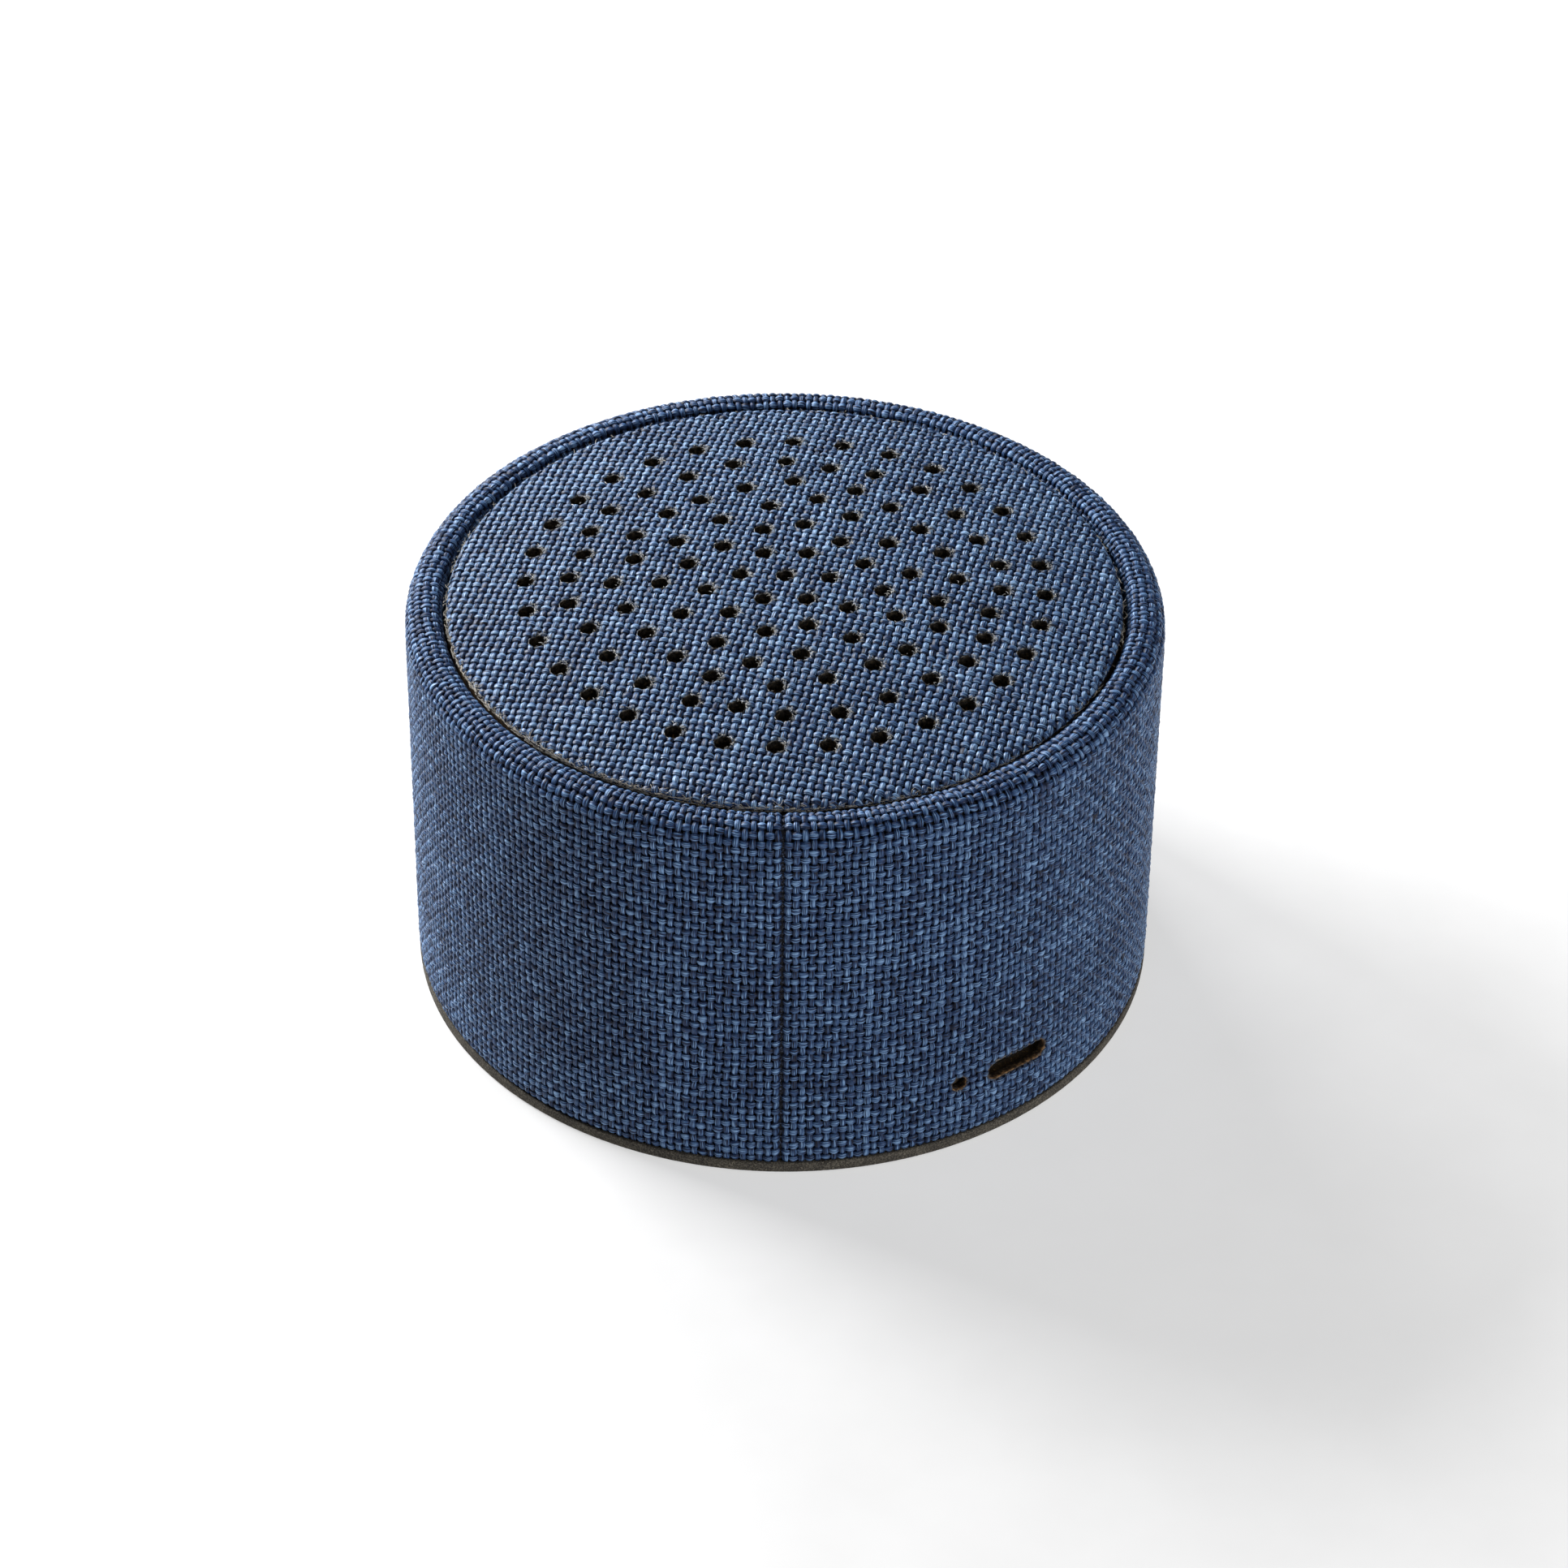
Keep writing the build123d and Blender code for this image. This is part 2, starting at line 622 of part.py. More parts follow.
def filter_capacitors():
    """The upright electrolytic capacitors beside the amplifier."""
    cans = []
    for x, y in CAPACITORS_AT:
        can = upright(x, y, PCB_TOP, PCB_TOP + CAPACITOR_H, CAPACITOR_R)
        cans.append(fillet(can.edges().filter_by(GeomType.CIRCLE).group_by(Axis.Z)[-1], 0.4))
    return Compound(children=cans)


def header(x, y, along_x):
    """A white plug header on the board, open at the top."""
    long, short, height = HEADER_SIZE
    size_x, size_y = (long, short) if along_x else (short, long)
    solid = centred_block(x, y, size_x, size_y, PCB_TOP, PCB_TOP + height)
    inside_x = size_x - 2 * HEADER_WALL
    inside_y = size_y - 2 * HEADER_WALL
    return solid - centred_block(x, y, inside_x, inside_y, PCB_TOP + HEADER_FLOOR, PCB_TOP + height + 1)


def plug(x, y, along_x):
    """The two-way plug that sits in a header."""
    long, short, _ = PLUG_SIZE
    size_x, size_y = (long, short) if along_x else (short, long)
    return centred_block(x, y, size_x, size_y, PCB_TOP + HEADER_FLOOR, PLUG_TOP)


# ---- Battery --------------------------------------------------------------------------------------
def battery_tape():
    """The foam tape under the cell."""
    x_span = (CELL_X[0] + CELL_TAPE_INSET, CELL_X[1] - CELL_TAPE_INSET)
    y_span = (CELL_Y[0] + CELL_TAPE_INSET, CELL_Y[1] - CELL_TAPE_INSET)
    return block(x_span, y_span, (BASE_TOP, CELL_BOTTOM))


def battery_cell():
    """The lithium pouch cell with its folded, rounded edges."""
    cell = block(CELL_X, CELL_Y, (CELL_BOTTOM, CELL_BOTTOM + CELL_H))
    return fillet(cell.edges(), CELL_ROUND)


def battery_guard_board():
    """The protection board across the end of the cell."""
    x_span = (CELL_X[0] - GUARD_T, CELL_X[0])
    return block(x_span, (CELL_Y[0] + GUARD_INSET, CELL_Y[1] - GUARD_INSET), GUARD_Z)


def battery_lead(offset):
    """A lead from the protection board to the top of its plug."""
    start_x = CELL_X[0] - GUARD_T
    start_y, start_z = BATTERY_LEAD_AT
    end_x, end_y = BATTERY_PLUG
    route = [
        (start_x, start_y + offset, start_z),
        (start_x - 4.0, start_y + offset, start_z),
        (start_x - 6.5 - offset, 7.5 + offset, 14.5),
        (start_x - 4.5 - offset, 0.5, 19.0),
        (end_x - offset, end_y, 19.5),
        (end_x - offset, end_y, PLUG_TOP),
    ]
    return wire(route, LEAD_D)


# ---- Driver ---------------------------------------------------------------------------------------
def driver_baffle():
    """The plate across the ring that carries the driver."""
    solid = washer(BAFFLE_HOLE_R, BAFFLE_R, *BAFFLE_Z)
    for angle in EARS:
        x, y = polar(EAR_AT, angle)
        solid -= upright(x, y, BAFFLE_Z[0] - 1, BAFFLE_Z[1] + 1, DRIVER_SCREW_R - 0.15)
    return solid


def driver_basket():
    """The pressed steel frame: eared flange, windowed wall, spider shelf and floor."""
    flange_z = BAFFLE_Z[1]
    wall_in = BASKET_R - FLANGE_T
    lower_in, lower_out = BASKET_WALL_R
    solid = turned(
        [
            (FLANGE_R, flange_z),
            (BASKET_R, flange_z),
            (BASKET_R, SHELF_Z - FLANGE_T),
            (lower_out, SHELF_Z - FLANGE_T),
            (lower_out, PLATE_Z[1]),
            (BASKET_FLOOR_R, PLATE_Z[1]),
            (BASKET_FLOOR_R, BASKET_FLOOR_Z),
            (lower_in, BASKET_FLOOR_Z),
            (lower_in, SHELF_Z),
            (wall_in, SHELF_Z),
            (wall_in, flange_z + FLANGE_T),
            (FLANGE_R, flange_z + FLANGE_T),
        ]
    )
    for angle in EARS:
        ear = extrude(SlotCenterToCenter(EAR_AT - EAR_INNER, EAR_W), FLANGE_T)
        solid += Rot(0, 0, angle) * Pos((EAR_AT + EAR_INNER) / 2, 0, flange_z) * ear
    half_w = BASKET_WINDOW_W / 2
    window = block((wall_in - 1, BASKET_R + 1), (-half_w, half_w), (SHELF_Z + 1.2, flange_z - 0.8))
    for angle in EARS:
        x, y = polar(EAR_AT, angle)
        solid -= upright(x, y, flange_z - 1, flange_z + 2, DRIVER_SCREW_R + 0.2)
        solid -= Rot(0, 0, angle - EARS[0]) * window
    return solid


def driver_screws():
    """The four screws through the flange's ears into the baffle."""
    head_r, head_h = DRIVER_SCREW_HEAD
    top = SURROUND_Z + head_h
    screws = []
    for angle in EARS:
        x, y = polar(EAR_AT, angle)
        head = upright(x, y, SURROUND_Z, top, head_r)
        head = fillet(head.edges().filter_by(GeomType.CIRCLE).group_by(Axis.Z)[-1], 0.5)
        screw = head + upright(x, y, BAFFLE_Z[0] - 1.0, SURROUND_Z, DRIVER_SCREW_R)
        screws.append(screw - cross_recess(x, y, top - RECESS[2], top + 1))
    return Compound(children=screws)


def driver_gasket():
    """The foam ring on the flange."""
    low = SURROUND_Z + SURROUND_T
    return washer(GASKET_R, FLANGE_R - 0.2, low, low + GASKET_T)


def front_plate():
    """The washer that makes the outer side of the magnet's gap."""
    return washer(GAP_R, MAGNET_R - 1.0, *PLATE_Z)


def ring_magnet():
    """The ferrite ring."""
    return washer(GAP_R + 1.2, MAGNET_R, *MAGNET_Z)


def magnet_yoke():
    """The back plate and pole, in one piece."""
    return upright(0, 0, YOKE_Z[0], YOKE_Z[1], MAGNET_R - 1.0) + upright(0, 0, YOKE_Z[1], PLATE_Z[1], POLE_R)


def coil_former():
    """The thin tube that the coil is wound on."""
    return washer(COIL_R, COIL_R + FORMER_T, *FORMER_Z)


def coil_winding():
    """The voice coil's copper."""
    inner = COIL_R + FORMER_T
    return washer(inner, inner + WINDING_T, *WINDING_Z)


def speaker_cone():
    """The paper cone, glued to the former by its neck."""
    neck_r, neck_z = CONE_NECK
    edge_r, edge_z = CONE_EDGE
    inner = COIL_R + FORMER_T
    return turned(
        [
            (inner, neck_z - 0.7),
            (neck_r, neck_z - 0.7),
            (neck_r, neck_z - 0.1),
            (edge_r, edge_z - CONE_T),
            (edge_r, edge_z),
            (inner, neck_z + 0.25),
        ]
    )


def dust_cap():
    """The domed cap over the coil."""
    low = CONE_NECK[1] + 0.75
    outer = (CAP_R**2 + CAP_RISE**2) / (2 * CAP_RISE)
    shell = Pos(0, 0, low + CAP_RISE - outer) * (Sphere(outer) - Sphere(outer - CAP_T))
    return shell & upright(0, 0, low, low + CAP_RISE + 1, CAP_R)


def driver_surround():
    """The rubber half roll between the cone's edge and the flange."""
    z = SURROUND_Z
    inner_r = ROLL_AT - ROLL_R
    outer_r = ROLL_AT + ROLL_R
    edge_in, edge_out = SURROUND_R
    t = SURROUND_T
    outline = [
        Line((edge_in, 0, z), (inner_r + t, 0, z)),
        ThreePointArc((inner_r + t, 0, z), (ROLL_AT, 0, z + ROLL_R - t), (outer_r - t, 0, z)),
        Line((outer_r - t, 0, z), (edge_out, 0, z)),
        Line((edge_out, 0, z), (edge_out, 0, z + t)),
        Line((edge_out, 0, z + t), (outer_r, 0, z + t)),
        ThreePointArc((outer_r, 0, z + t), (ROLL_AT, 0, z + ROLL_R + t), (inner_r, 0, z + t)),
        Line((inner_r, 0, z + t), (edge_in, 0, z + t)),
        Line((edge_in, 0, z + t), (edge_in, 0, z)),
    ]
    return revolve(make_face(outline), Axis.Z)


def driver_spider():
    """The corrugated cloth that centres the coil: rings of small waves from the former to the shelf."""
    half_t = SPIDER_T / 2
    mid = SHELF_Z + half_t
    inner_r, outer_r, land_r = SPIDER_R
    steps = 8 * SPIDER_WAVES
    upper = []
    lower = []
    for i in range(steps + 1):
        r = inner_r + (outer_r - inner_r) * i / steps
        z = mid + SPIDER_WAVE_H * math.sin(2 * math.pi * SPIDER_WAVES * i / steps)
        upper.append((r, z + half_t))
        lower.append((r, z - half_t))
    land = [(land_r, mid + half_t), (land_r, mid - half_t)]
    return turned(upper + land + lower[::-1])


def terminal_strip():
    """The phenolic strip riveted to the basket's wall."""
    return block((-BASKET_R - STRIP_T, -BASKET_R), (-STRIP_W / 2, STRIP_W / 2), STRIP_Z)


def terminal_tags():
    """The two solder tags on the strip."""
    x_span = (TAG_FACE, TAG_FACE + TAG_T)
    tags = [block(x_span, (y - TAG_W / 2, y + TAG_W / 2), TAG_Z) for y in (-TAG_Y, TAG_Y)]
    return Compound(children=tags)


def tinsel_leads():
    """The two braided leads that flex between the strip and the back of the cone."""
    leads = []
    for y in (-TAG_Y, TAG_Y):
        route = [
            (-BASKET_R, y, 35.7),
            (-17.6, y, 35.7),
            (-15.2, y, 36.0),
            (-13.2, y, 36.7),
            (-12.0, y, 38.15),
        ]
        leads.append(wire(route, TINSEL_D))
    return Compound(children=leads)


def speaker_lead(side):
    """A lead from a solder tag down to the top of its plug."""
    end_x, end_y = SPEAKER_PLUG
    start_y = TAG_Y * side
    start_z = TAG_Z[0] + 0.8
    route = [
        (TAG_FACE, start_y, start_z),
        (TAG_FACE - 3.0, start_y, start_z),
        (-26.5, 1.7 * side - 1.0, 26.5),
        (-26.0 + 0.6 * side, 1.2 * side - 8.0, 22.5),
        (end_x, end_y + 0.8 * side, 21.0),
        (end_x, end_y + 0.8 * side, PLUG_TOP),
    ]
    return wire(route, LEAD_D)


def write_parts():
    """Builds every piece and writes it to its own file."""
    pieces = {
        "side_fabric": side_fabric(),
        "top_fabric": top_fabric(),
        "lid_board": lid_board(),
        "dust_scrim": dust_scrim(),
        "lid_tape": lid_tape(),
        "body_ring": body_ring(),
        "foot_pad": foot_pad(),
        "base_plate": base_plate(),
        "base_screws": base_screws(),
        "power_switch_housing": power_switch_housing(),
        "power_switch_knob": power_switch_knob(),
        "button_cap": button_cap(),
        "tact_switch_housing": tact_switch_housing(),
        "tact_switch_plunger": tact_switch_plunger(),
        "circuit_board": circuit_board(),
        "board_screws": board_screws(),
        "usb_socket_shell": usb_socket_shell(),
        "usb_socket_tongue": usb_socket_tongue(),
        "led_lamp": led_lamp(),
        "light_pipe": light_pipe(),
        "radio_module": radio_module(),
        "radio_shield": radio_shield(),
        "amplifier_chip": amplifier_chip(),
        "charger_chip": charger_chip(),
        "filter_capacitors": filter_capacitors(),
        "battery_header": header(*BATTERY_PLUG, along_x=True),
        "battery_plug": plug(*BATTERY_PLUG, along_x=True),
        "speaker_header": header(*SPEAKER_PLUG, along_x=False),
        "speaker_plug": plug(*SPEAKER_PLUG, along_x=False),
        "battery_tape": battery_tape(),
        "battery_cell": battery_cell(),
        "battery_guard_board": battery_guard_board(),
        "battery_lead_red": battery_lead(0.8),
        "battery_lead_black": battery_lead(-0.8),
        "driver_baffle": driver_baffle(),
        "driver_basket": driver_basket(),
        "driver_screws": driver_screws(),
        "driver_gasket": driver_gasket(),
        "front_plate": front_plate(),
        "ring_magnet": ring_magnet(),
        "magnet_yoke": magnet_yoke(),
        "coil_former": coil_former(),
        "coil_winding": coil_winding(),
        "speaker_cone": speaker_cone(),
        "dust_cap": dust_cap(),
        "driver_surround": driver_surround(),
        "driver_spider": driver_spider(),
        "terminal_strip": terminal_strip(),
        "terminal_tags": terminal_tags(),
        "tinsel_leads": tinsel_leads(),
        "speaker_lead_red": speaker_lead(1),
        "speaker_lead_black": speaker_lead(-1),
    }
    os.makedirs("parts", exist_ok=True)
    for name, piece in pieces.items():
        export_step(piece, f"parts/{name}.step")
        print(name, round(piece.volume, 2))


write_parts()
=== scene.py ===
import math
import bpy
import numpy as np
from mathutils import Matrix, Vector


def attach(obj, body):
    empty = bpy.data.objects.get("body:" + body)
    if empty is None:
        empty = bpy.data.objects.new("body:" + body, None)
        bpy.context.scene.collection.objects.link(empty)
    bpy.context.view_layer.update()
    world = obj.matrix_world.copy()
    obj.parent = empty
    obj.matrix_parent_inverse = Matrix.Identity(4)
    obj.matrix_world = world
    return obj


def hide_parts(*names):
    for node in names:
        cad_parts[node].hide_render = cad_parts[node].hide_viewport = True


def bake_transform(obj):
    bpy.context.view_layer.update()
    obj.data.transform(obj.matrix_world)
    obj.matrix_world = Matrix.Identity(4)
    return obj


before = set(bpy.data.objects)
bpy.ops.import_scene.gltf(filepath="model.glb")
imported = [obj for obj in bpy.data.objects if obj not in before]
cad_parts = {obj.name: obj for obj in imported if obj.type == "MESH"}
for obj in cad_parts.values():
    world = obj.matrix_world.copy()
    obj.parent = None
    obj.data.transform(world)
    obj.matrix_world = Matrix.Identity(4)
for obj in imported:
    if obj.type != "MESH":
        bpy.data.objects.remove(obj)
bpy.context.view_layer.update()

# The looks of a round, fabric-covered portable speaker. The cloth is real woven geometry: every yarn is a
# ribbed half tube that goes over and under the yarns it crosses. Lengths here are in millimetres, and a
# mesh is scaled to metres where it is made.

MM = 0.001
RNG = np.random.default_rng(20)
TAU = 2 * math.pi
TUBE_SIDES = 4

# ---- Dimensions shared with the CAD ----------------------
OUTER_R = 42.0
RIM_TOP = 47.75
PAD_T = 1.45
RIM_OUTER_ROUND = 2.5
RIM_INNER_ROUND = 1.5
GROOVE_R = 37.7
GROOVE_FLOOR = 43.75
HEM_Z = PAD_T + 0.05         # the cover ends just over the foot pad
SEAM_GAP = 0.16
SEAM_DIP = 0.23             # the cover's cut edges turn in by this much, over SEAM_EDGE from the cut
SEAM_EDGE = 0.30
SEAM_SWELL = 0.08           # and swell by this much a millimetre away from it
SEAM_SHADE = 0.26
HEM_DIP = 0.16
LID_PRESS = 0.55            # how far the rim's cloth bulges against the lid at the right of the front
LID_PRESS_AZ = 0.76
RING_SECTORS = 24
SURROUND_Z = 40.8
SURROUND_T = 0.3
SURROUND_R = (16.0, 22.8)
ROLL_AT = 18.9
ROLL_R = 1.7
SPIDER_R = (6.6, 16.6)
SPIDER_RIM = 18.8
SPIDER_Z = 33.95
SPIDER_T = 0.3
SPIDER_WAVES = 4
SPIDER_WAVE = 0.45
TINSEL_ROUTE = [(-20.0, 35.7), (-17.6, 35.7), (-15.2, 36.0), (-13.2, 36.7), (-12.0, 38.15)]    # (x, z)
TINSEL_Y = 2.6
LID_R = 37.25
LID_TOP = 50.93
DOME_R = 233.0
LID_EDGE_ROUND = 0.7
HOLE_R = 0.88
CLOTH_HOLE_R = 0.95       # the cloth shrinks back from the beam
LID_CENTRE = (-0.05, -0.4)
OUTER_HOLES = 32
OUTER_HOLES_R = 28.63
OUTER_HOLES_TURN = 9.6
# Each ring is the holes of one half turn, as (degrees from +X, radius); the other half repeats them.
HALF_TURNS = [
    [(61.0, 4.9), (119.0, 4.9), (177.0, 4.9)],
    [(16.5, 9.0), (48.0, 9.1), (78.5, 10.3), (105.5, 9.3), (140.5, 8.9), (167.5, 11.0)],
    [(4.5, 13.8), (31.0, 13.2), (58.5, 14.0), (77.0, 15.8), (97.5, 14.0), (123.5, 13.2), (150.5, 13.8),
     (167.5, 17.1)],
    [(2.0, 19.0), (17.5, 18.2), (33.5, 18.0), (50.5, 18.4), (66.0, 19.2), (87.5, 19.3), (104.5, 18.4),
     (122.0, 18.1), (136.5, 18.3), (153.5, 18.7)],
    [(9.5, 24.0), (22.0, 23.0), (35.5, 23.4), (50.5, 23.8), (65.0, 23.6), (77.5, 23.0), (90.0, 23.8),
     (104.5, 24.0), (118.5, 23.4), (132.5, 23.3), (145.0, 24.1), (156.0, 23.8), (167.0, 22.9), (178.0, 23.8)],
]
PAD_R = 41.9
PAD_WINDOW = (33.0, 13.0)
PAD_WINDOW_Y = -12.0
LED_AZ = math.radians(27.8)
LED_Z = 8.86
LED_HOLE_R = 0.9
PORT_AZ = math.radians(38.5)
PORT_Z = 8.74
PORT_SLOT = (8.15, 2.44)

# ---- The weave -------------------------------------------
WARP_PITCH = 0.90
WEFT_PITCH = 0.966
TOP_PITCH = (0.895, 0.953)
TOP_GRAIN = math.radians(-12.4)
MID_DEPTH = 0.36          # the cloth's middle lies this far under its outer face
# For each direction: how far the yarn's centre rises and falls, half its thickness, half its width as a
# share of the pitch where it lies over, between and under, and how full its section is (1 is an ellipse).
SIDE_WARP = {"crimp": 0.125, "thick": 0.19, "wide": (0.42, 0.36, 0.30), "full": 0.75}
SIDE_WEFT = {"crimp": 0.15, "thick": 0.20, "wide": (0.45, 0.37, 0.30), "full": 0.75}
TOP_YARN = {"crimp": 0.15, "thick": 0.20, "wide": (0.43, 0.36, 0.30), "full": 0.9}
DRIFTS = [(0.09, 41, 67), (0.06, 17, -23), (0.045, 7.9, 11.3), (0.03, -9.1, 5.3)]   # size, wavelengths
STEPS = 4
ACROSS = np.radians([-112, -52, 0, 52, 112])
BACKING_H = -0.2
# Cut edges, from the outer rim of the lip to the foot of its wall: how far out of the cut, and how high. The
# openings' lips also have how much of the caramel wall colour shows: none on the charred face, most just
# under the rim, and little again deeper down the wall, which is painted shade.
HOLE_LIP = [(0.10, 0.04), (0.05, 0.15), (-0.005, 0.10), (-0.02, -0.05), (-0.05, -0.38), (-0.09, -0.52),
            (-0.10, -0.9)]
OPENING_LIP = [(0.20, 0.02, 0), (0.08, 0.16, 0.2), (-0.01, 0.10, 1), (-0.04, -0.10, 0.5), (-0.05, -0.45, 0.1),
               (-0.05, -0.75, 0.05)]
LIP_FACE = 0.05             # over this height a lip is ragged
SIDE_SINGE = 0.45           # how far the side cover and the lid's cloth are scorched from a cut
TOP_SINGE = 0.26
SIDE_SINK = 0.16            # and how far they shrink there
TOP_SINK = 0.17
SMOKE_SIDE = (0.30, 0.12)   # the soot round a hole of the lid lies this far to one side
SECTORS = 4
WARP_SEED, WEFT_SEED, TOP_SEED = 11, 12, 31
# The fibre ends stand thickest on this side of each hole, and here on the lid's edge: direction and spread.
FRAY_SIDE = (math.radians(18), math.radians(46))
FRINGE_SIDE = (math.radians(235), math.radians(33))


def hole_centres():
    """The laser-cut holes of the lid: the centre, five rings of two half turns, and an even outer ring."""
    places = [(0.0, 0.0)]
    for half in HALF_TURNS:
        places += [(angle + turn, radius) for turn in (0, 180) for angle, radius in half]
    places += [(OUTER_HOLES_TURN + k * 360 / OUTER_HOLES, OUTER_HOLES_R) for k in range(OUTER_HOLES)]
    angle, radius = np.radians([p[0] for p in places]), np.array([p[1] for p in places])
    return np.stack([radius * np.cos(angle), radius * np.sin(angle)], axis=1)


HOLES = hole_centres()


# ---- Mesh helpers ----------------------------------------
def put(name, data):
    """A new object in the scene."""
    made = bpy.data.objects.new(name, data)
    bpy.context.collection.objects.link(made)
    return made


def mesh_piece(name, co, faces, material, uvs=None, attributes=None, body="housing"):
    """A piece from numpy arrays: points in millimetres, and faces that all have the same corner count.
    """
    mesh = bpy.data.meshes.new(name)
    corners = faces.shape[1]
    used, faces = np.unique(faces, return_inverse=True)
    faces = faces.reshape(-1, corners)
    co = np.asarray(co, dtype=np.float64)[used]
    mesh.vertices.add(len(co))
    mesh.vertices.foreach_set("co", (co * MM).astype(np.float32).ravel())
    mesh.loops.add(faces.size)
    mesh.loops.foreach_set("vertex_index", faces.astype(np.int32).ravel())
    mesh.polygons.add(len(faces))
    mesh.polygons.foreach_set("loop_start", np.arange(0, faces.size, corners, dtype=np.int32))
    mesh.polygons.foreach_set("use_smooth", np.full(len(faces), True))
    for layer, values in (uvs or {}).items():
        uv = mesh.uv_layers.new(name=layer)
        uv.data.foreach_set("uv", np.asarray(values)[used][faces.ravel()].astype(np.float32).ravel())
    for layer, values in (attributes or {}).items():
        attribute = mesh.attributes.new(layer, "FLOAT", "POINT")
        attribute.data.foreach_set("value", np.asarray(values)[used].astype(np.float32).ravel())
    mesh.update(calc_edges=True)
    mesh.validate()
    mesh.materials.append(material)
    piece = put(name, mesh)
    if body:
        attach(piece, body)
    return piece


def grid_faces(rows, columns):
    """Quads of a rows x columns grid of points, as an array (rows - 1, columns - 1, 4)."""
    index = np.arange(rows * columns).reshape(rows, columns)
    return np.stack([index[:-1, :-1], index[1:, :-1], index[1:, 1:], index[:-1, 1:]], axis=-1)


def hoop_faces(rings, spokes, first=0):
    """Quads between closed rings of points, each ring numbered after the one before it from first."""
    index = np.arange(rings * spokes).reshape(rings, spokes) + first
    after = np.roll(index, -1, axis=1)
    return np.stack([index[:-1], index[1:], after[1:], after[:-1]], axis=-1).reshape(-1, 4)


def bell(x, width):
    """1 at 0, falling off smoothly over the width."""
    return np.exp(-np.square(x / width))


def smooth_step(x):
    """0 up to 0, 1 from 1, and a smooth rise between."""
    x = np.clip(x, 0, 1)
    return x * x * (3 - 2 * x)


def circles_cut(points, centres, radius):
    """Signed distance to the nearest circle, and the point on that circle nearest each point."""
    distance = np.full(len(points), np.inf)
    nearest = np.array(points)
    for centre in centres:
        offset = points - centre
        close = np.abs(offset).max(axis=1) < 4 * radius
        length = np.hypot(offset[close, 0], offset[close, 1]) + 1e-9
        better = length - radius < distance[close]
        where = np.flatnonzero(close)[better]
        distance[where] = length[better] - radius
        nearest[where] = centre + offset[where] / length[better, None] * radius
    return distance, nearest


def stadium_cut(points, centre, size):
    """Signed distance to a slot with round ends, and the point on its outline nearest each point."""
    radius = size[1] / 2
    straight = size[0] / 2 - radius
    offset = points - centre
    axis = np.stack([np.clip(offset[:, 0], -straight, straight), np.zeros(len(points))], axis=1)
    out = offset - axis
    length = np.hypot(out[:, 0], out[:, 1]) + 1e-9
    return length - radius, centre + axis + out / length[:, None] * radius


def cut_out(points, faces, cuts):
    """Cuts openings: whole faces inside go, and the corners of a face across an edge move onto it."""
    keep = np.ones(len(faces), bool)
    for cut in cuts:
        distance, nearest = cut(points)
        inside = distance < 0
        stays = ~inside[faces].all(axis=1)
        keep &= stays
        edge = np.zeros(len(points), bool)
        edge[faces[stays].ravel()] = True
        points = np.where((inside & edge)[:, None], nearest, points)
    return points, faces[keep]


def tubes(paths, radii):
    """Thin closed square tubes along many paths at once: paths (n, p, 3) and radii (n, p)."""
    count, length, _ = paths.shape
    tangent = np.gradient(paths, axis=1)
    tangent /= np.linalg.norm(tangent, axis=2, keepdims=True) + 1e-12
    helper = np.where(np.abs(tangent[..., 2:3]) < 0.8, [0.0, 0.0, 1.0], [1.0, 0.0, 0.0])
    first = np.cross(tangent, helper)
    first /= np.linalg.norm(first, axis=2, keepdims=True) + 1e-12
    second = np.cross(tangent, first)
    turn = np.arange(TUBE_SIDES) * TAU / TUBE_SIDES
    ring = first[:, :, None, :] * np.cos(turn)[:, None] + second[:, :, None, :] * np.sin(turn)[:, None]
    co = (paths[:, :, None, :] + ring * radii[:, :, None, None]).reshape(-1, 3)
    index = np.arange(count * length * TUBE_SIDES).reshape(count, length, TUBE_SIDES)
    after = np.roll(index, -1, axis=2)
    walls = np.stack([index[:, :-1], after[:, :-1], after[:, 1:], index[:, 1:]], axis=-1).reshape(-1, 4)
    caps = np.concatenate([index[:, 0, ::-1], index[:, -1]])
    return co, np.concatenate([walls, caps])


# ---- Where the cloth lies --------------------------------
R_MID = OUTER_R - MID_DEPTH
TOP_MID = RIM_TOP - MID_DEPTH
OUTER_ARC = RIM_OUTER_ROUND - MID_DEPTH
INNER_ARC = RIM_INNER_ROUND - MID_DEPTH
WALL_LENGTH = TOP_MID - OUTER_ARC - HEM_Z
OUTER_LENGTH = OUTER_ARC * math.pi / 2
FLAT_LENGTH = (OUTER_R - RIM_OUTER_ROUND) - (GROOVE_R + RIM_INNER_ROUND)
INNER_LENGTH = INNER_ARC * math.pi / 2
GROOVE_LENGTH = TOP_MID - INNER_ARC - GROOVE_FLOOR - 0.2
PROFILE_LENGTH = WALL_LENGTH + OUTER_LENGTH + FLAT_LENGTH + INNER_LENGTH + GROOVE_LENGTH
ROUND_LENGTH = TAU * OUTER_R


